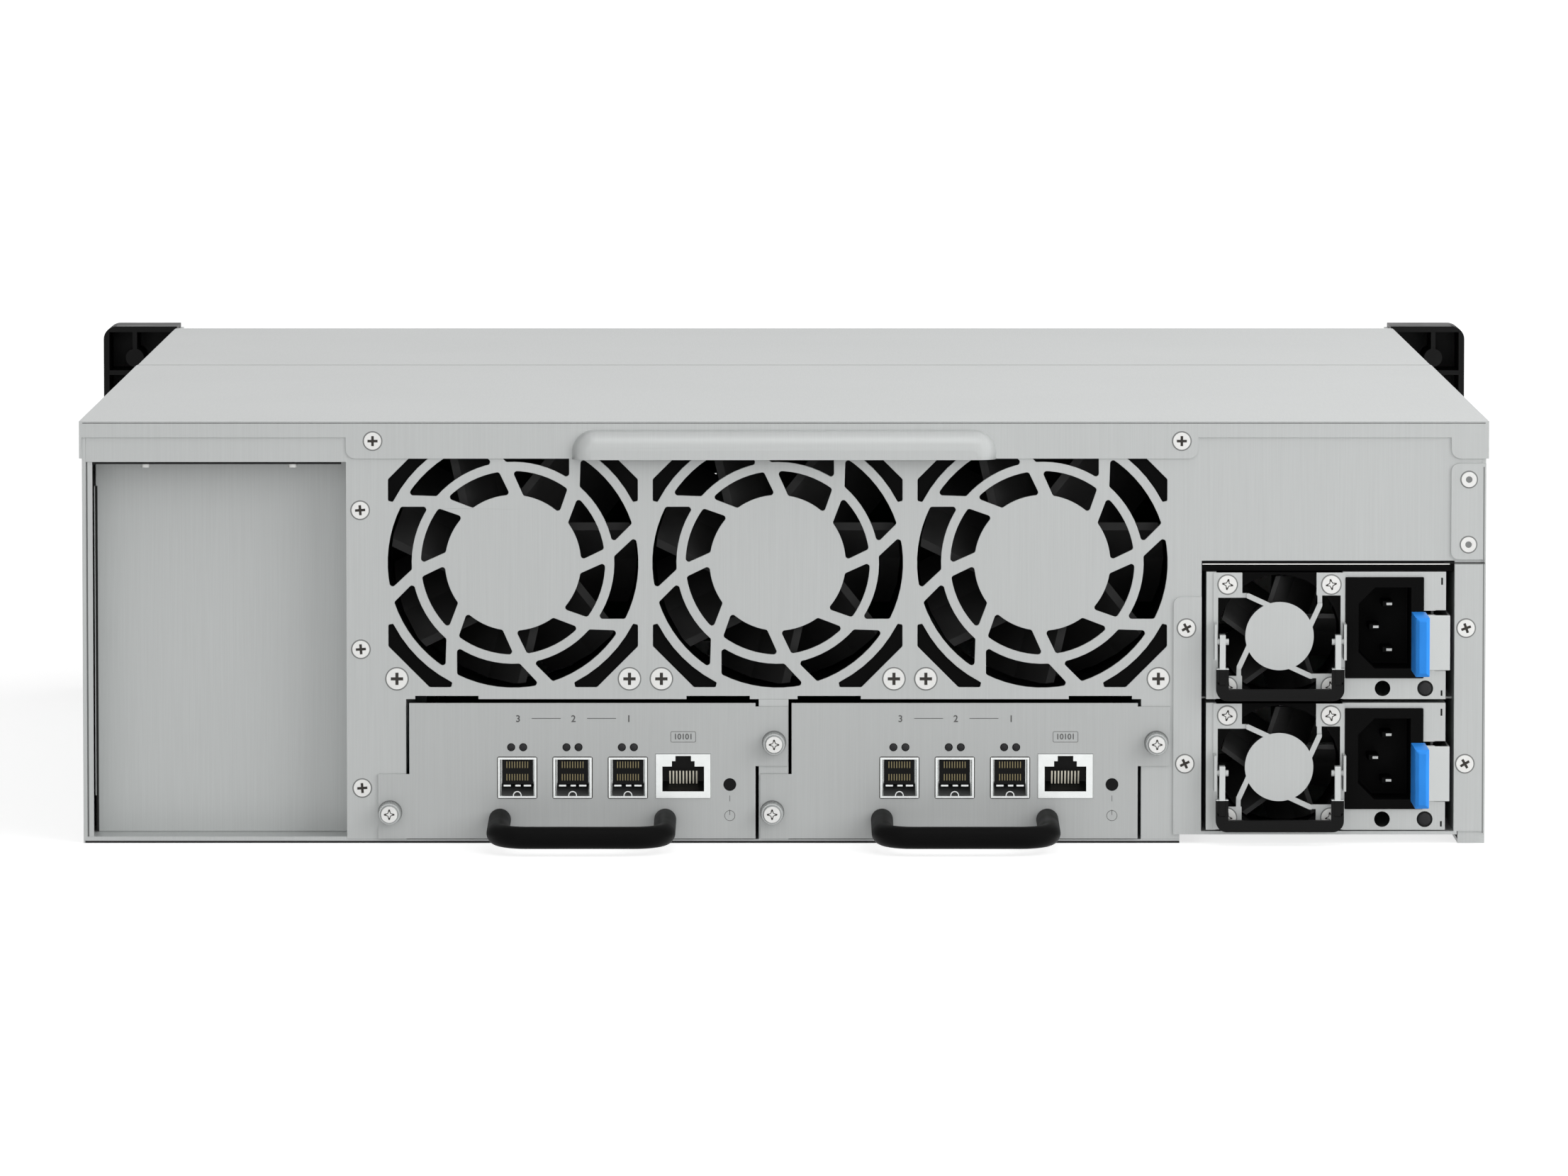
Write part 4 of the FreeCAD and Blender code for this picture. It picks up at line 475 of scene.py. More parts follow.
def make(name, body, forms, smooth=35):
    """One piece from (form, finish) pairs; it rides on a body."""
    mesh = bpy.data.meshes.new(name)
    points, faces, kinds, coats = [], [], [], []
    for (form_points, form_faces), coat in forms:
        if coat not in coats:
            coats.append(coat)
        base = len(points)
        points += [Vector(point) * MM for point in form_points]
        faces += [tuple(base + index for index in face) for face in form_faces]
        kinds += [coats.index(coat)] * len(form_faces)
    mesh.from_pydata(points, [], faces)
    for coat in coats:
        mesh.materials.append(coat)
    mesh.polygons.foreach_set("material_index", kinds)
    skin = bmesh.new()
    skin.from_mesh(mesh)
    bmesh.ops.recalc_face_normals(skin, faces=skin.faces)
    for face in skin.faces:
        face.smooth = True
    for edge in skin.edges:
        edge.smooth = edge.is_manifold and edge.calc_face_angle(0.0) < math.radians(smooth)
    skin.to_mesh(mesh)
    skin.free()
    piece = bpy.data.objects.new(name, mesh)
    bpy.context.scene.collection.objects.link(piece)
    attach(piece, body)
    print(f"{name}: {len(mesh.polygons)} faces on {body}")
    return piece


print("finishes ready for the pieces:", len(bpy.data.materials))

# %% [markdown]
# ## Swirled fan grille
#
# Each fan blows through two rings of slots whose spokes lean with the swirl, and through an opening in
# each corner of its square. A punch has a small radius in its corners, which the CAD openings lack.
# Rounding them with a bevel would also round the sheet's faces, so the outlines themselves get arcs.

# %% Openings of one grille
SPOKES, SPOKE_WIDTH, SPOKE_START, SPOKE_SWEEP = 8, 4.1, 176.7, 1.06
GRILLE_HUB, SLOT_HEIGHT, RING_WIDTH = 20.9, 7.35, 2.85
CORNER_REACH, CORNER_CHAMFER = 38.3, 12.6
CELL_ROUND, ROUND_STEPS, ARC_STEPS = 0.9, 5, 8
NEARLY_STRAIGHT = 150


def arc(radius, start, end):
    """Points along an arc about the origin, by angle in degrees."""
    turns = [math.radians(start + (end - start) * step / ARC_STEPS) for step in range(ARC_STEPS + 1)]
    return [(radius * math.cos(turn), radius * math.sin(turn)) for turn in turns]


def spoke_side(radius, spoke, sign):
    """Angle of one flank of a swept spoke at a radius."""
    lean = SPOKE_SWEEP * (radius - GRILLE_HUB)
    half = math.degrees(math.asin(SPOKE_WIDTH / 2 / radius))
    return SPOKE_START + 360 / SPOKES * spoke + lean + sign * half


def swirl_cell(inner, outer, number):
    """The opening between two swept spokes."""
    return (arc(inner, spoke_side(inner, number + 1, -1), spoke_side(inner, number, 1))
            + arc(outer, spoke_side(outer, number, 1), spoke_side(outer, number + 1, -1)))


def corner_cell(ring, quarter):
    """The opening between the outer ring and a chamfered corner of the fan's square."""
    cut = CORNER_REACH - CORNER_CHAMFER
    start = math.degrees(math.acos(CORNER_REACH / ring))
    outline = [(CORNER_REACH, cut), (cut, CORNER_REACH)] + arc(ring, 90 - start, start)
    spin = Matrix.Rotation(math.radians(90 * quarter), 2)
    return [tuple(spin @ Vector(point)) for point in outline]


def rounded(outline, radius):
    """The outline with each sharp corner replaced by an arc of the radius."""
    result = []
    for before, at, after in zip(outline[-1:] + outline[:-1], outline, outline[1:] + outline[:1]):
        here = Vector(at)
        back, ahead = (Vector(before) - here).normalized(), (Vector(after) - here).normalized()
        opening = math.acos(max(-1.0, min(1.0, back.dot(ahead))))
        if opening > math.radians(NEARLY_STRAIGHT):
            result.append(at)
            continue
        reach = radius / math.tan(opening / 2)
        centre = here + (back + ahead).normalized() * radius / math.sin(opening / 2)
        first, last = here + back * reach - centre, here + ahead * reach - centre
        for step in range(ROUND_STEPS + 1):
            result.append(tuple(centre + first.lerp(last, step / ROUND_STEPS).normalized() * radius))
    return result


rings = [GRILLE_HUB, GRILLE_HUB + SLOT_HEIGHT + RING_WIDTH]
cells = [swirl_cell(ring, ring + SLOT_HEIGHT, number) for ring in rings for number in range(SPOKES)]
cells += [corner_cell(rings[1] + SLOT_HEIGHT + RING_WIDTH, quarter) for quarter in range(4)]
cells = [rounded(cell, CELL_ROUND) for cell in cells]
print(f"{len(cells)} openings in each grille")

# %% [markdown]
# ## Outline of the rear panel
#
# The panel is cut away for the side bay, the canisters and the supplies. Its outline could be read off
# the CAD mesh, but loose edges are hard to sort into a loop. It is walked round instead, corner by
# corner, from the boxes of those pieces. Over each canister the edge steps up in two shallow reliefs.

# %% Walk round the panel
BAY_RETURN, CAGE_SHEET, CANISTER_ROOM = 10.0, 1.0, 1.1
RELIEF_INSET, RELIEF_GAP, RELIEF_WIDTH, RELIEF_RISE = (9.6, 9.9), 1.8, 19.4, 1.0
SUPPLY_ROOM, SUPPLY_SINK, NOTCH = (1.5, 2.6), 0.3, 6.6

panel_low, panel_high = span("rear_panel")
bay_right = span("side_bay_blank")[1].x - BAY_RETURN
header = span("side_bay_blank")[1].z
canisters_left = span("canister_cage")[0].x + CAGE_SHEET
canisters_right = span("canister_cage")[1].x - CAGE_SHEET
canisters_top = span("canister_1_tray")[1].z + CANISTER_ROOM
supply_left = span("psu_1_case")[0].x - SUPPLY_ROOM[0]
supply_right = span("psu_1_case")[1].x + SUPPLY_ROOM[1]
supply_top = span("psu_cage")[1].z - CAGE_SHEET
supply_floor = span("psu_2_case")[0].z - SUPPLY_SINK
notch_left = supply_left - NOTCH

CANISTERS = ("canister_1", "canister_2")
reliefs = []
for name in CANISTERS:
    tray_low, tray_high = span(f"{name}_tray")
    first = tray_low.x + RELIEF_INSET[0] + RELIEF_GAP
    last = tray_high.x - RELIEF_INSET[1] - RELIEF_GAP
    raised = canisters_top + RELIEF_RISE
    for start, end in ((first, first + RELIEF_WIDTH), (last - RELIEF_WIDTH, last)):
        reliefs += [(start, canisters_top), (start, raised), (end, raised), (end, canisters_top)]
panel_outline = [
    (panel_low.x, header), (bay_right, header), (bay_right, panel_low.z), (canisters_left, panel_low.z),
    (canisters_left, canisters_top), *reliefs, (canisters_right, canisters_top),
    (canisters_right, panel_low.z), (notch_left, panel_low.z), (notch_left, supply_floor),
    (supply_left, supply_floor), (supply_left, supply_top), (supply_right, supply_top),
    (supply_right, supply_floor), (panel_high.x, supply_floor), (panel_high.x, panel_high.z),
    (panel_low.x, panel_high.z)]
print(f"{len(panel_outline)} corners round the panel")

# %% [markdown]
# ## Rear panel
#
# Outline and grille openings now give one plate, which takes the CAD panel's place. The header over
# the side bay is folded inward, and two bright studs hang below it: a brick and two short bars.

# %% Rear panel with its header fold
SHEET_THICK, PANEL_EDGE = 1.2, 0.12
STUD_RADIUS, STUD_DROP, STUD_INSET, STUD_DEPTH = 1.45, 1.9, 16.5, 5.0

openings = [[(fan.x + x, fan.z + z) for x, z in cell] for fan in FANS for cell in cells]
panel = [(plate([panel_outline] + openings, REAR, SHEET_THICK, PANEL_EDGE), SHEET)]
panel.append((brick((panel_low.x, bay_right), (REAR + 0.1, panel_high.y), (header, header + SHEET_THICK)),
              SHEET))
for x in (span("side_bay_blank")[0].x + STUD_INSET, bay_right - STUD_INSET):
    stud = [Vector((x, REAR + STUD_DEPTH, z)) for z in (header, header - STUD_DROP)]
    panel.append((swept(stud, STUD_RADIUS), PLATED))
piece = make("rear_panel_rounded", "chassis", panel, smooth=1)
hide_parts("rear_panel")

# %% [markdown]
# ## Screw heads and rivets
#
# The case is held by flat screws with a cross recess and by pop rivets, each in a shallow dimple. A full
# thread would never be seen, so a head is three thin plates: a dark ring that paints the dimple's shade, a
# bright disc with the cross cut out, and a dark floor under it that paints the shade in the recess. Some
# are turned, as in the photograph.

# %% Heads
HEAD_RISE, HEAD_EDGE, DIMPLE_WIDTH = 0.3, 0.08, 0.4
FILM, SKIN = 0.05, 0.04


def cross(x, z, arm, tip, waist, turn):
    """A four-armed recess that flares to the middle, turned by an angle in degrees."""
    quarter = [Vector((arm, -tip)), Vector((arm, tip)), Vector((waist, waist))]
    turns = [Matrix.Rotation(math.radians(turn + 90 * number), 2) for number in range(4)]
    return [tuple(spin @ corner + Vector((x, z))) for spin in turns for corner in quarter]


def dimple(x, z, face, head):
    """A dark ring of painted shade where the sheet dips round a head."""
    return plate([circle(x, z, head + DIMPLE_WIDTH), circle(x, z, head)], face - 0.03, SKIN), SHADE_GREY


def driven_top(x, z, face, head, arm, turn):
    """A bright disc with a flared cross, whose floor is painted dark as shade round a plated middle."""
    recess = cross(x, z, arm, arm * 0.12, arm * 0.3, turn)
    plated_middle = cross(x, z, arm * 0.62, arm * 0.03, arm * 0.2, turn)
    return [(plate([circle(x, z, head), recess], face, HEAD_RISE, HEAD_EDGE), PLATED),
            (plate([circle(x, z, arm * 1.1)], face + HEAD_RISE * 0.8, FILM), RECESS_SHADE),
            (plate([plated_middle], face + HEAD_RISE * 0.5, FILM), PLATED)]


def screw(x, z, face, head, turn=0):
    """A flat head with a plain cross in a dimple, seen end on."""
    half = head * 0.145
    slots = cross(x, z, head * 0.58, half, half, turn)
    top = plate([circle(x, z, head), slots], face - HEAD_RISE, HEAD_RISE, HEAD_EDGE)
    floor = plate([circle(x, z, head * 0.65)], face - 0.05, SKIN)
    return [dimple(x, z, face, head), (top, PLATED), (floor, RECESS_SHADE)]


def rivet(x, z, face, head):
    """A pop rivet with a sunken grey pin."""
    top = plate([circle(x, z, head), circle(x, z, head * 0.42)], face - HEAD_RISE, HEAD_RISE, HEAD_EDGE)
    pin = plate([circle(x, z, head * 0.45)], face - 0.12, 0.1)
    return [dimple(x, z, face, head), (top, PLATED), (pin, SHADE_GREY)]


print("plates of a screw head:", len(screw(0, 0, 0, 3)))

# %% [markdown]
# ## Screws of the case
#
# Two screws hold the cover's rear flange, three the side of the bay, four the supply cage, six larger
# ones the fans, and two rivets a tab at the right. They could be an object each, but none of them
# moves against the case, so they share one piece.

# %% Place the screws and rivets
SMALL_HEAD, LARGE_HEAD, RIVET_HEAD, FAN_SCREW = 2.65, 3.25, 2.35, 35.7
COVER_SCREWS = ((-126.1, 123.9), (121.9, 123.9))
BAY_SCREWS = ((-130.0, 102.6), (-129.9, 59.8), (-129.6, 17.0))
CAGE_SCREWS = ((123.5, 66.4, 28), (123.1, 24.6, 25), (209.3, 66.4, 20), (209.1, 24.6, 30))
TAB_RIVETS = ((210.0, 112.1), (209.9, 92.1))

screws = []
for x, z in COVER_SCREWS:
    screws += screw(x, z, COVER_FACE, SMALL_HEAD)
for x, z in BAY_SCREWS:
    screws += screw(x, z, REAR, SMALL_HEAD, 4)
for x, z, turn in CAGE_SCREWS:
    screws += screw(x, z, FLANGE_FACE, SMALL_HEAD, turn)
for fan in FANS:
    for side in (-1, 1):
        screws += screw(fan.x + side * FAN_SCREW, fan.z - FAN_SCREW, REAR, LARGE_HEAD)
for x, z in TAB_RIVETS:
    screws += rivet(x, z, FLANGE_FACE, RIVET_HEAD)
make("case_screws", "chassis", screws)

# %% [markdown]
# ## Fold of the cover and seam between the covers
#
# Where the rear cover is folded down, the bend catches the light as a bright line across the whole
# shelf: a thin bright bar paints that highlight. On top, the two covers meet in a narrow seam, whose shade
# a flat grey strip paints. Both could go into a texture, but a bar and a strip also hold up from other sides.

# %% Painted highlight on the fold and painted shade in the seam
FOLD_RADIUS, FOLD_INSET, FOLD_SIDES = 0.24, 1.1, 12
SEAM_INSET, SEAM_HALF, SEAM_RISE = 0.6, 1.0, 0.02

cover_low, cover_high = span("rear_top_cover")
# A thin bright bar paints the highlight of the cover's bend.
fold = [Vector((x, COVER_FACE + FOLD_RADIUS, cover_high.z - FOLD_RADIUS))
        for x in (cover_low.x + FOLD_INSET, cover_high.x - FOLD_INSET)]
make("cover_fold_highlight", "chassis", [(swept(fold, FOLD_RADIUS, FOLD_SIDES), FOLD_HIGHLIGHT)])
# A flat grey strip paints the shade in the seam between the covers.
seam_y = span("front_top_cover")[0].y - 0.2
seam = brick((cover_low.x + SEAM_INSET, cover_high.x - SEAM_INSET), around(seam_y, SEAM_HALF),
             (cover_high.z, cover_high.z + SEAM_RISE))
make("cover_seam", "chassis", [(seam, SHADE_GREY)])

# %% [markdown]
# ## Painted shade and highlight in the gaps of the case
#
# Between folded sheets there is always a little air, which reads as a dark line. The CAD sheets stand
# too close for light to get lost between them, so thin dark bricks paint that shade round the side bay,
# at the hem, over the upper supply, under the rivet tab and the cover's fold, and as shaded edges along
# the bottom and the right wall. A thin plated brick in the gap over the supply paints the highlight on the
# cage's edge. The left wall also has a bright hem.

# %% Painted shade lines
BAY_GAP, BAY_END, BAY_FLOOR, HEM = 0.7, 1.4, 1.3, (0.5, 1.95)
PLATE_SPAN, LIP_SPAN, WALL_SPAN = (12.5, 108.5), (0.1, 0.7), (3.2, 116.0)
TAB_SPAN, TAB_LINE = (-12.6, -0.4), (86.3, 86.65)
FOLD_LINE, CAGE_EDGE = (129.3, 129.5), (-1.2, -0.85)


def on_face(face):
    """The depth range of a line that lies on a face of the rear side."""
    return face - 0.03, face + 0.01


wall_left, wall_right = span("chassis_base")[0].x, span("chassis_base")[1].x
blank_left, blank_face = span("side_bay_blank")[0].x, span("side_bay_blank")[1].y - 1.0
blank_edge = around(blank_face, 0.1)
hem = moved(HEM, panel_low.x)
headroom = (span("psu_1_case")[1].z + 0.15, supply_top - 0.1)
# The dark bricks below are painted shade, the plated one is a painted highlight, and the sheet ones are the hem
# and the blank's edge.
shade_lines_and_strips = [
    ((hem[1], bay_right - BAY_END), moved((0.8, 1.0), REAR), (header - BAY_GAP, header), GAP_SHADE),
    ((panel_low.x, hem[0]), moved((1.0, 1.2), REAR), (BAY_FLOOR, header), SHADE_GREY),
    (hem, moved((0.5, 1.4), REAR), (BAY_FLOOR, header), SHEET),
    (moved((-0.45, -0.2), blank_left), blank_edge, PLATE_SPAN, SHEET),
    ((wall_left + 0.5, notch_left), on_face(REAR), LIP_SPAN, GAP_SHADE),
    (moved((-0.2, 0.55), blank_left), blank_edge, (BAY_FLOOR, PLATE_SPAN[1]), GAP_SHADE),
    (moved((-0.9, -0.5), wall_right), on_face(FLANGE_FACE), WALL_SPAN, SHADE_GREY),
    (moved(TAB_SPAN, wall_right), on_face(FLANGE_FACE), TAB_LINE, GAP_SHADE),
    ((cover_low.x + FOLD_INSET, cover_high.x - FOLD_INSET), on_face(COVER_FACE), FOLD_LINE, GAP_SHADE),
    ((supply_left + 0.1, supply_right - 0.1), moved((2.0, 2.3), REAR), headroom, INLET),
    ((supply_left + 0.3, supply_right - 1.4), moved((1.5, 1.8), REAR), moved(CAGE_EDGE, headroom[1]), PLATED)]
make("case_shade_lines_and_strips", "chassis", [(brick(x, y, z), coat) for x, y, z, coat in shade_lines_and_strips])

# %% [markdown]
# ## Insides of the cable ports
#
# A cable port is a plated shell with a black insert that carries two rows of gilt contacts, and a
# springy latch plate slopes up from its lower lip. The shell comes from the CAD. A picture of contacts
# would go flat from the side, so they are small bricks, and the latch plate is a thin sloped strip.

# %% Port insides
PORT_PITCH, PORT_WIDTH, PORT_HEIGHT, PORT_GAP, GAP_ROUND = 17.0, 11.8, 12.5, 0.28, 0.6
INSERT_HALF, INSERT_DEPTH, INSERT_RISE = 4.65, (1.6, 8.8), (-8.3, -0.7)
CONTACTS, CONTACT_PITCH, CONTACT_HALF, CONTACT_DEPTH = 9, 0.8, 0.13, (1.4, 1.7)
CONTACT_ROWS = ((-3.35, -1.35), (-7.2, -5.2))
LATCH_HALF, LATCH_NEAR, LATCH_FAR, STRIP_THICK = 4.9, (0.9, 0.65), (6.0, 3.9), 0.12
LATCH_TEETH, TEETH_DEPTH, TEETH_RISE = ((-3.1, 1.1), (0.2, 0.8), (3.1, 1.1)), (1.0, 1.4), (3.5, 4.0)
EYE_RISE, EYE_RADII, EYE_SIDES, EYE_DEPTH, EYE_THICK = 0.75, (1.35, 1.05), 24, 0.6, 0.2


def row_of(count, pitch):
    """Offsets of evenly spaced things about a middle."""
    return [(number - (count - 1) / 2) * pitch for number in range(count)]


def sloped(x, front, low, near, far):
    """A thin strip between two edges, each a (depth, rise) from a front face and a low level."""
    points, faces = brick(x, (near[0], far[0]), (0, STRIP_THICK))
    rise = {near[0]: near[1], far[0]: far[1]}
    return [(at, front + depth, low + rise[depth] + lift) for at, depth, lift in points], faces


def port_inside(x, top, front):
    """The insert of a cable port with two rows of contacts over a latch plate."""
    low = top - PORT_HEIGHT
    forms = [(brick(around(x, INSERT_HALF), moved(INSERT_DEPTH, front), moved(INSERT_RISE, top)), BLACK)]
    for row in CONTACT_ROWS:
        for across in row_of(CONTACTS, CONTACT_PITCH):
            contact = around(x + across, CONTACT_HALF)
            forms.append((brick(contact, moved(CONTACT_DEPTH, front), moved(row, top)), GOLD))
    forms.append((sloped(around(x, LATCH_HALF), front, low, LATCH_NEAR, LATCH_FAR), DARK_STEEL))
    eye = [circle(x, low + EYE_RISE, radius, EYE_SIDES) for radius in EYE_RADII]
    forms.append((plate(eye, front + EYE_DEPTH, EYE_THICK), SHELL))
    for across, half in LATCH_TEETH:
        tooth = brick(around(x + across, half), moved(TEETH_DEPTH, front), moved(TEETH_RISE, low))
        forms.append((tooth, SHELL))
    return forms


def port_middles(name):
    """Middle of each cable port of a canister, from left to right."""
    return [span(f"{name}_ports")[0].x + PORT_WIDTH / 2 + port * PORT_PITCH for port in range(3)]


print("contacts in a port:", len(CONTACT_ROWS) * CONTACTS)

# %% [markdown]
# ## Console jack
#
# The jack's mouth is a stepped opening, wide below and narrow where the plug's clip goes. Behind it
# nine springy contacts slope down from the top. Only the dark back wall, the floor and the contacts
# are seen, so a stepped plate, a sloped floor and nine strips stand for the whole socket.

# %% Jack inside, and one piece per canister
JACK_WIDTH, MOUTH_LOW, MOUTH_TOP, MOUTH_DEPTH, MOUTH_THICK = 16.8, 2.05, 9.75, 7.0, 0.2
MOUTH_STEPS = ((6.4, None), (6.4, 0.0), (3.5, 0.0), (3.5, 1.65), (2.4, 1.65), (2.4, 3.2))
RAMP_HALF, RAMP_NEAR, RAMP_FAR = 6.3, (0.4, 0.02), (MOUTH_DEPTH, 2.4)
SPRING_PITCH, SPRING_HALF, SPRING_NEAR, SPRING_FAR = 1.02, 0.24, (3.2, 8.0), (5.2, 4.0)


def jack_inside(x, low, front):
    """The dark stepped mouth of the console jack and its row of contacts."""
    floor, top = low + MOUTH_LOW, low + MOUTH_TOP
    half = [(across, floor if rise is None else top + rise) for across, rise in MOUTH_STEPS]
    outline = [(x + a, z) for a, z in half] + [(x - a, z) for a, z in reversed(half)]
    forms = [(plate([outline], front + MOUTH_DEPTH, MOUTH_THICK), BLACK)]
    forms.append((sloped(around(x, RAMP_HALF), front, floor, RAMP_NEAR, RAMP_FAR), BLACK))
    for across in row_of(CONTACTS, SPRING_PITCH):
        spring = sloped(around(x + across, SPRING_HALF), front, low, SPRING_NEAR, SPRING_FAR)
        forms.append((spring, PALE_GOLD))
    return forms


for name in CANISTERS:
    face = span(f"{name}_tray")[0].y
    ports_low, ports_high = span(f"{name}_ports")
    port_top = ports_low.z + PORT_HEIGHT
    inside = []
    for x in port_middles(name):
        inside += port_inside(x, port_top, ports_low.y)
        half = PORT_WIDTH / 2
        shell = rectangle(around(x, half), (ports_low.z, port_top))
        # A dark ring in the gap round each port shell paints the shade in that gap.
        cutout = rectangle(around(x, half + PORT_GAP), (ports_low.z - PORT_GAP, port_top + PORT_GAP))
        inside.append((plate([rounded(cutout, GAP_ROUND), shell], face - 0.02, SKIN), RECESS_SHADE))
    inside += jack_inside(ports_high.x - JACK_WIDTH / 2, ports_low.z, ports_low.y)
    make(f"{name}_port_insides", name, inside)

# %% [markdown]
# ## Canister lamps
#
# Two small lamps sit over each cable port. Unlit, such a lens is a smoked dome in a black collar. A
# sphere would bulge too far, so the lens is turned from a flat profile with a soft shoulder.

# %% Lamp lenses
LAMP_RADIUS, LAMP_STEP, LAMP_LIFT, COLLAR = 1.0, 1.85, 3.15, 0.24
LAMP_PROFILE = [(0.3, -0.35), (0.7, -0.28), (LAMP_RADIUS, -0.06), (LAMP_RADIUS, 0.3)]

for name in CANISTERS:
    face = span(f"{name}_tray")[0].y
    lamp_z = span(f"{name}_ports")[0].z + PORT_HEIGHT + LAMP_LIFT
    lenses = []
    for x in port_middles(name):
        for side in (-1, 1):
            at = Vector((x + side * LAMP_STEP, face, lamp_z))
            lenses.append((plate([circle(at.x, at.z, LAMP_RADIUS + COLLAR)], face - 0.04, FILM), BLACK))
            lenses.append((turned(at, LAMP_PROFILE), LENS))
    make(f"{name}_lamps", name, lenses)

# %% [markdown]
# ## Figures and marks on the canisters
#
# The ports are numbered 3, 2, 1 with thin lines between, the jack has a framed row of ones and noughts,
# and a short line and an open ring mark the button. An image would blur close up, so Blender's own
# font is filled as a curve and becomes a thin plate. Dark rings paint the shade of the dents round the
# thumbscrews.

# %% Helpers for printed marks
MARK_THICK, MARK_BOLD, FONT_SHARE, MARK_LINE = 0.03, 0.05, 1.4, 0.08


def lettering(text, x, z, face, height):
    """Plain figures as thin plates, centred on a spot."""
    curve = bpy.data.curves.new("figure", "FONT")
    curve.body = text
    curve.align_x = "CENTER"
    curve.align_y = "CENTER"
    curve.size = height * FONT_SHARE
    curve.extrude = MARK_THICK
    curve.offset = MARK_BOLD
    points, faces = drawn(curve)
    return [(x + a, face - c, z + b) for a, b, c in points], faces


def printed(x, z, face):
    """A thin printed bar on a face."""
    return brick(x, (face - MARK_THICK, face), z), MARK


def printed_frame(outer, inner, face):
    """A thin printed line between two outlines."""
    return plate([outer, inner], face - MARK_THICK, MARK_THICK * 2), MARK


print("faces of a printed 1:", len(lettering("1", 0, 0, 0, 2)[1]))

# %% Print the marks
NUMBER_LIFT, NUMBER_SHIFT, NUMBER_HEIGHT = 11.85, 0.3, 2.1
DASH, DASH_LIFT = (4.5, 13.4), (11.95, 12.15)
FRAME_HALF, FRAME_LIFT, FRAME_LINE, FRAME_ROUND = 3.9, (4.65, 8.05), 0.15, (0.5, 0.35)
BITS_LIFT, BITS_HEIGHT = 6.35, 1.7
POINTER, RING_DROP, RING_RADII, RING_STEM = (-5.2, -3.4), 9.6, (1.65, 1.5), (0.2, 1.8)
DENT_RADII = (3.75, 3.0)

for name in CANISTERS:
    face = span(f"{name}_tray")[0].y
    top = span(f"{name}_ports")[0].z + PORT_HEIGHT
    jack = span(f"{name}_ports")[1].x - JACK_WIDTH / 2
    button = middle(f"{name}_button")
    marks = []
    for port, x in enumerate(port_middles(name)):
        figure = lettering(str(3 - port), x + NUMBER_SHIFT, top + NUMBER_LIFT, face, NUMBER_HEIGHT)
        marks.append((figure, MARK))
        if port < 2:
            marks.append(printed(moved(DASH, x), moved(DASH_LIFT, top), face))
    frames = []
    for inset, corner in zip((0, FRAME_LINE), FRAME_ROUND):
        half, low, high = FRAME_HALF - inset, top + FRAME_LIFT[0] + inset, top + FRAME_LIFT[1] - inset
        frames.append(rounded(rectangle(around(jack, half), (low, high)), corner))
    marks.append(printed_frame(*frames, face))
    marks.append((lettering("10101", jack, top + BITS_LIFT, face, BITS_HEIGHT), MARK))
    stem = around(button.x, MARK_LINE)
    ring_z = button.z - RING_DROP
    marks.append(printed(stem, moved(POINTER, button.z), face))
    marks.append(printed_frame(*[circle(button.x, ring_z, radius) for radius in RING_RADII], face))
    marks.append(printed(stem, moved(RING_STEM, ring_z), face))
    for level in ("lower", "upper"):
        at = middle(f"{name}_thumbscrew_{level}")
        # Each dark ring paints the shade of the dent round a thumbscrew.
        dent = plate([circle(at.x, at.z, radius) for radius in DENT_RADII], face - 0.03, SKIN)
        marks.append((dent, SHADE_GREY))
    make(f"{name}_marks", name, marks)

# %% [markdown]
# ## Rod handles
#
# Each canister is pulled by a bent rod with a black coat. In the CAD the rod has twelve flats, which
# saves facets but shows in the light. Here the same middle line, two legs and two quarter bends, is
# swept with a round section and drooped by three degrees, and it takes the CAD handle's place.

# %% Round handles
BAR, BAR_SIDES, BEND, BEND_STEPS = 3.4, 32, 9.0, 8
HANDLE_SPAN, HANDLE_REACH, DROOP = 50.8, 40.0, 3.0


def handle_path(root):
    """The middle line of the bent bar, from one foot to the other."""
    half = HANDLE_SPAN / 2
    leg = HANDLE_REACH - BAR - BEND
    points = [Vector((-half, 0, 0))]
    for step in range(BEND_STEPS + 1):
        angle = math.radians(90 * step / BEND_STEPS)
        points.append(Vector((-half + BEND - BEND * math.cos(angle), -leg - BEND * math.sin(angle), 0)))
    points += [Vector((-point.x, point.y, 0)) for point in reversed(points)]
    droop = Matrix.Rotation(math.radians(DROOP), 3, "X")
    return [root + droop @ point for point in points]


for name in CANISTERS:
    low, high = span(f"{name}_handle")
    root = Vector(((low.x + high.x) / 2, high.y, high.z - BAR))
    piece = make(f"{name}_round_handle", name,
                 [(swept(handle_path(root), BAR, BAR_SIDES), GRIP)])
    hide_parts(f"{name}_handle")

# %% [markdown]
# ## Knurled thumbscrews
#
# The canisters are locked with captive thumbscrews: a knurled head, a bright cap with a cross, and
# a shank in the face plate. A bump could fake the knurl, but its outline would stay smooth. The teeth
# are cut into the outline of a plate instead. Each screw rides on its own body, because it turns.

# %% Thumbscrews
TEETH, KNURL, TOOTH, KNURL_EDGE, KNURL_BACK = 44, 3.5, 0.3, 0.3, 1.4
CAP, CAP_ARM, CAP_SIDES, SHANK = 2.5, 1.6, 40, 1.5
CAP_PROFILE = [(CAP, 0.25), (CAP + 0.1, 0.6), (CAP + 0.45, 1.5)]


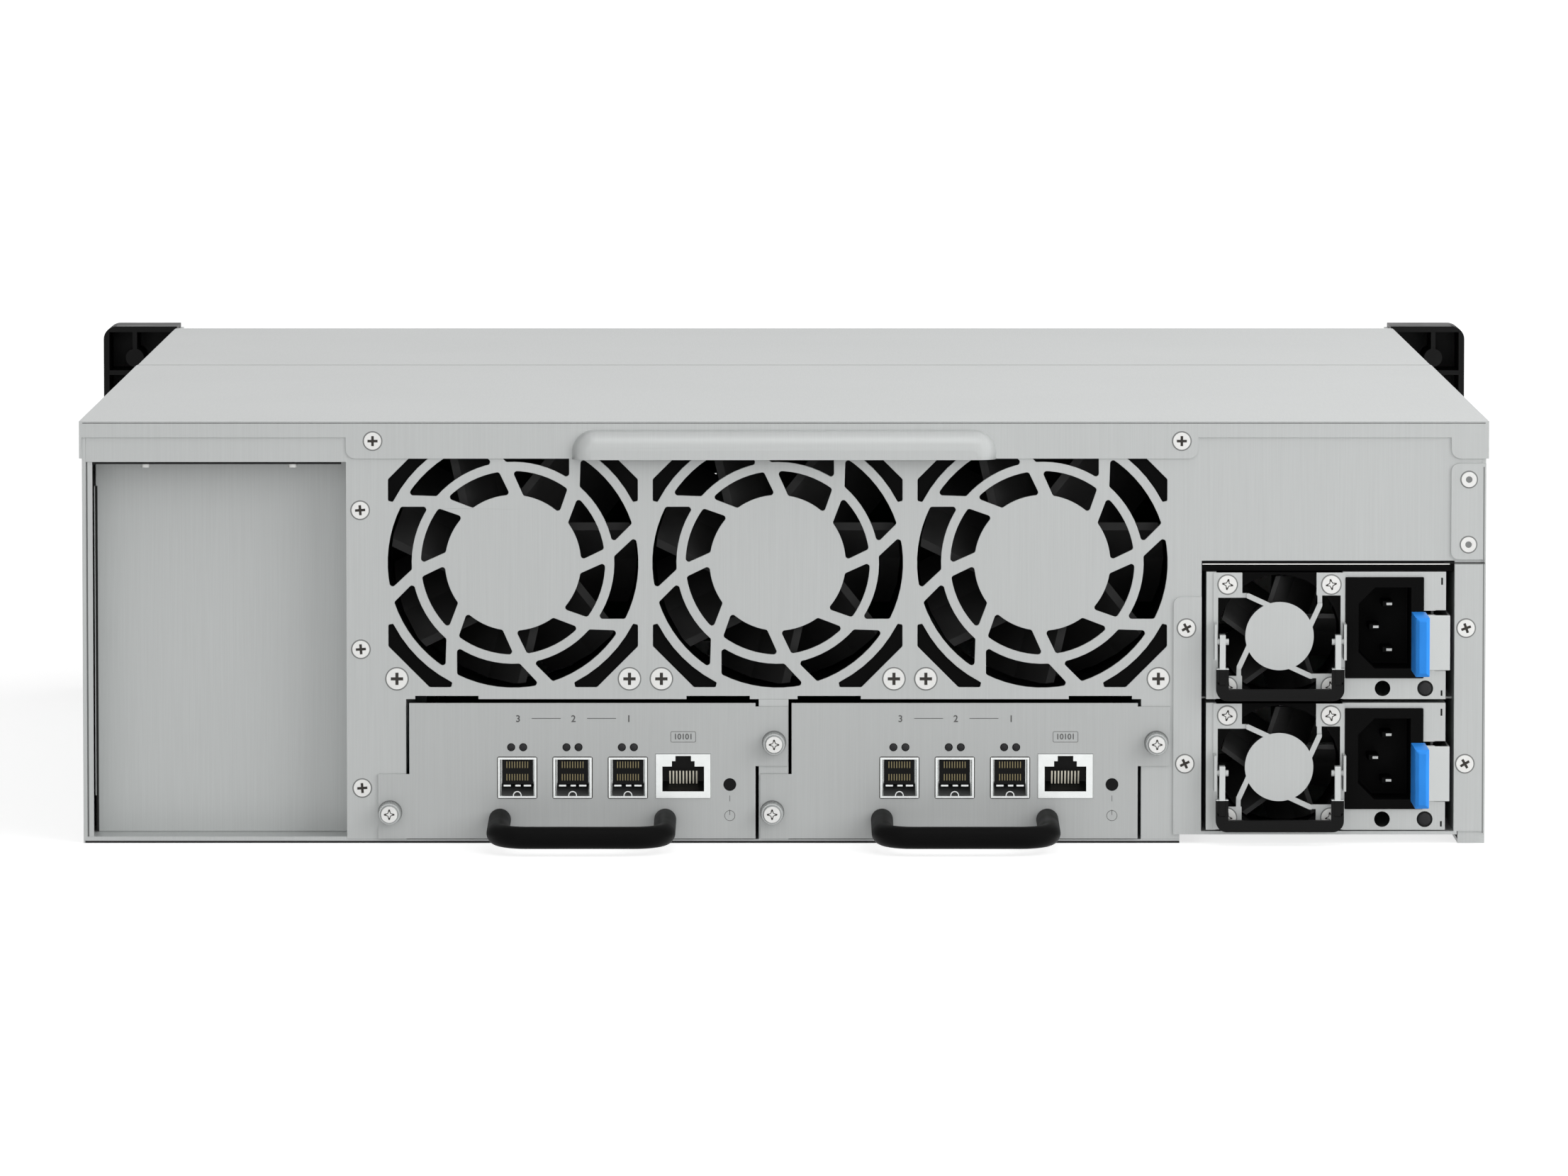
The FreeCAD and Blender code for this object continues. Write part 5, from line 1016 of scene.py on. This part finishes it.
def thumbscrew(at, face, tip, back):
    """A toothed head, a bright cap with a cross, and the shank behind."""
    tips = circle(at.x, at.z, KNURL, 2 * TEETH)
    roots = circle(at.x, at.z, KNURL - TOOTH, 2 * TEETH)
    teeth = [(tips, roots)[step % 2][step] for step in range(2 * TEETH)]
    shoulder = tip + KNURL_BACK
    forms = [(plate([teeth], shoulder, face - shoulder, KNURL_EDGE), SUPPLY)]
    forms.append((turned(Vector((at.x, tip, at.z)), CAP_PROFILE, CAP_SIDES), SUPPLY))
    forms += driven_top(at.x, at.z, tip, CAP, CAP_ARM, 0)
    forms.append((swept([Vector((at.x, face, at.z)), Vector((at.x, back, at.z))], SHANK), PLATED))
    return forms


for name in CANISTERS:
    face = span(f"{name}_tray")[0].y
    for level in ("lower", "upper"):
        node = f"{name}_thumbscrew_{level}"
        low, high = span(node)
        piece = make(f"{node}_knurled", node, thumbscrew(middle(node), face, low.y, high.y))
        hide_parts(node)

# %% [markdown]
# ## Guard screws of the supplies
#
# Four screws with a flared cross hold each supply's finger guard. The middle of the cross is bright. A
# shader could show that, but a plate of plated steel in the recess is simpler; round it the recess
# floor is painted dark as shade. They ride on the supply and slide out with it.

# %% Guard screws
GUARD_SCREW_X, GUARD_SCREW_Z, GUARD_HEAD, GUARD_ARM = 15.9, 15.75, 2.8, 1.68
GUARD_SHEET, GUARD_TURN = 0.8, 10

for name in SUPPLIES:
    guard_face = span(f"{name}_case")[0].y - GUARD_SHEET
    hub = JOINT_AT[f"{name}_fan_spin"]
    heads = []
    for side in (-1, 1):
        for level in (-1, 1):
            x, z = hub.x + side * GUARD_SCREW_X, hub.z + level * GUARD_SCREW_Z
            heads.append(dimple(x, z, guard_face, GUARD_HEAD))
            heads += driven_top(x, z, guard_face - HEAD_RISE, GUARD_HEAD, GUARD_ARM, GUARD_TURN * side)
    make(f"{name}_screws", name, heads)

# %% [markdown]
# ## Supply lamps and slits
#
# A smoked lamp looks out of a round hole near the lower right corner of each supply, and two short slits
# are cut at its right edge. Nothing can be seen behind them. So the case sheet isn't cut: a black disc
# under the lens paints the shade in the hole, and a black brick paints the shade in each slit.

# %% Lamp and slits
SUPPLY_LAMP, LAMP_HEIGHT, HOLE_RADIUS = 67.25, 3.3, 2.45
SUPPLY_LENS = [(0.8, -0.5), (1.5, -0.4), (1.9, -0.05), (1.9, 0.3)]
SLIT_X, SLIT_WIDE, SLITS = 72.0, 0.55, ((35.2, 37.4), (1.0, 2.7))

for name in SUPPLIES:
    low = span(f"{name}_case")[0]
    lamp_at = Vector((low.x + SUPPLY_LAMP, low.y, low.z + LAMP_HEIGHT))
    # The black disc and the black slit bricks are painted shade.
    forms = [(plate([circle(lamp_at.x, lamp_at.z, HOLE_RADIUS)], low.y - 0.02, 0.03), BLACK),
             (turned(lamp_at, SUPPLY_LENS), LENS)]
    for bottom, top in SLITS:
        slit = brick(moved((0, SLIT_WIDE), low.x + SLIT_X), around(low.y, 0.02), moved((bottom, top), low.z))
        forms.append((slit, BLACK))
    make(f"{name}_lamp", name, forms)

# %% [markdown]
# ## Contact tips of the mains inlets
#
# Three flat contacts stand in the dark well of each inlet, and only their plated tips catch the light.
# The CAD has the contacts themselves. A bright brick on each end, shifted to the side that catches the light, is
# partly the plated colour of the tip and partly a painted highlight.

# %% Contact tips
TIP_X, TIP_Z, TIP_SHIFT, TIP_DEPTH = 1.7, 0.75, 0.6, (-0.15, 0.05)
WELL = Vector((12.1, 5.0, 15.5))
INLET_CONTACTS = ((1.0, 7.05), (-3.1, 0.0), (1.0, -7.05))

for name in SUPPLIES:
    centre = span(f"{name}_inlet")[0] + WELL
    tips = []
    for x, z in INLET_CONTACTS:
        at = centre + Vector((x + TIP_SHIFT, 0, z))
        # Each bright brick sits on the side of a contact's end that catches the light: partly its plated colour,
        # partly a painted highlight.
        tip = brick(around(at.x, TIP_X / 2), moved(TIP_DEPTH, at.y), around(at.z, TIP_Z / 2))
        tips.append((tip, TIP_HIGHLIGHT))
    make(f"{name}_contact_tips", name, tips)

# %% [markdown]
# ## White background
#
# The shelf is shown on a pure white ground. More light would get there too, but it would bleach the
# zinc. So the world has two strengths, told apart by the light path node: full white where the camera,
# a shiny face or a clear piece looks at it, and a quarter of that as light on the object.

# %% World
SKY_LIGHT = 0.25


def seen_plainly(tree):
    """1 where the camera, a shiny face or a clear piece looks at the surface, 0 for its light."""
    ray = wired(tree, "LightPath", {}).outputs
    value = ray["Is Camera Ray"]
    for kind in ("Is Glossy Ray", "Is Transmission Ray"):
        value = wired(tree, "Math", {0: value, 1: ray[kind]}, "MAXIMUM").outputs["Value"]
    return value


scene = bpy.context.scene
scene.view_settings.view_transform = "Standard"
world = bpy.data.worlds.new("studio")
scene.world = world
world.use_nodes = True
sky_tree = world.node_tree
WHITE = (1, 1, 1, 1)
sky = feed(sky_tree, sky_tree.nodes["Background"], {"Color": WHITE, "Strength": SKY_LIGHT})
plain = wired(sky_tree, "Background", {"Color": WHITE, "Strength": 1.0})
whites = [background.outputs["Background"] for background in (sky, plain)]
mixed(sky_tree, seen_plainly(sky_tree), *whites, "World Output")
print(f"white background, {SKY_LIGHT} of it as light")

# %% [markdown]
# ## White floor with a soft shadow
#
# The shelf stands on white paper. Paper that only glows would lose the shadow, and paper that is only
# lit would turn grey far from the lamps. This floor does both: near the shelf it glows less and the
# lamps make up the rest, which leaves a shadow. Farther out the glow rises to full white.

# %% Floor
FLOOR_REACH, FLOOR_COLOUR = 12.0, (0.6, 0.6, 0.6)
GLOW_NEAR, GLOW_FAR, NEAR, FAR = 0.72, 1.0, 0.35, 2.2

floor_mesh = bpy.data.meshes.new("floor")
corners = rectangle(around(0, FLOOR_REACH), around(0, FLOOR_REACH))
floor_mesh.from_pydata([(x, y, 0) for x, y in corners], [], [(0, 1, 2, 3)])
floor = bpy.data.objects.new("floor", floor_mesh)
scene.collection.objects.link(floor)
paper, paper_tree, paper_shader = finish("floor_white", FLOOR_COLOUR, 0.0, 0.9)
away = wired(paper_tree, "VectorMath", {0: own_place(paper_tree)}, "LENGTH").outputs["Value"]
strength = between(paper_tree, away, GLOW_NEAR, GLOW_FAR, (NEAR, FAR))
glow = wired(paper_tree, "Emission", {"Strength": strength})
lit = paper_shader.outputs["BSDF"]
both = wired(paper_tree, "AddShader", {0: lit, 1: glow.outputs["Emission"]})
mixed(paper_tree, seen_plainly(paper_tree), lit, both.outputs["Shader"])
floor_mesh.materials.append(paper)
floor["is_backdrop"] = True
print(f"floor glows from {GLOW_NEAR} near the shelf to {GLOW_FAR} far away")

# %% [markdown]
# ## Softboxes
#
# Sheet metal looks best in large, soft lights; one hard lamp would burn out the zinc. The key stands to
# the right of the camera, a weak fill to the left and a front light behind it. A top and a back light
# brighten the right end of the cover, and a small one picks out its rear edge. Key and top are left out
# of reflections, because from the drive side the cover would mirror them and turn white.

# %% Lights


def softbox(name, place, aim, size, power, mirrored=True):
    """A square soft light that points at a spot; bare metal shows it only if it is mirrored."""
    data = bpy.data.lights.new(name, "AREA")
    data.size = size
    data.energy = power
    light = bpy.data.objects.new(name, data)
    light.location = place
    light.visible_glossy = mirrored
    light.rotation_euler = (Vector(aim) - Vector(place)).to_track_quat("-Z", "Y").to_euler()
    scene.collection.objects.link(light)
    print(f"{name}: {power} W over {size} m")


softbox("key", (1.6, -2.1, 0.9), (0.05, 0, 0.05), 1.6, 21.5, mirrored=False)
softbox("fill", (-1.0, -2.6, 1.0), (0, 0, 0.05), 1.6, 3.6)
softbox("front", (0.3, -4.2, 1.1), (0, 0, 0.05), 1.6, 4.5)
softbox("top", (1.0, -0.1, 0.7), (0.15, 0, 0.1), 0.8, 7, mirrored=False)
softbox("back", (1.6, 2.0, 0.7), (0.25, 0, 0.13), 1.2, 6)
softbox("edge", (0.1, -0.8, 1.2), (0.05, -0.26, 0.1), 0.8, 2.2)

# %% [markdown]
# ## Camera
#
# The picture is taken straight from behind and a little from above, from three and a half metres away
# with a long lens, so the sides hardly converge. A camera could be placed by eye. This one was fitted
# until the edges of the case and of the covers fell where the photograph has them.

# %% Camera
FOCAL, SENSOR = 245.73, 36.0
CAMERA_AWAY, CAMERA_HEIGHT, CAMERA_TILT = 3.533, 0.3386, 0.0792246

camera_data = bpy.data.cameras.new("camera")
camera_data.lens = FOCAL
camera_data.sensor_width = SENSOR
camera = bpy.data.objects.new("camera", camera_data)
camera.location = (0, -CAMERA_AWAY, CAMERA_HEIGHT)
camera.rotation_euler = (math.pi / 2 - CAMERA_TILT, 0, 0)
scene.collection.objects.link(camera)
scene.camera = camera
print(f"camera {CAMERA_AWAY} m away, tilted down {math.degrees(CAMERA_TILT):.1f} degrees")

# %% [markdown]
# ## Sizes
#
# The dressed shelf must not outgrow the CAD, because others build on its size. Both boxes could be
# compared by eye; here the size of the dressed shelf is printed in millimetres.

# %% Print the size of the dressed shelf
low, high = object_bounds()
print("size of the dressed shelf in mm:", [round((b - a) / MM, 1) for a, b in zip(low, high)])
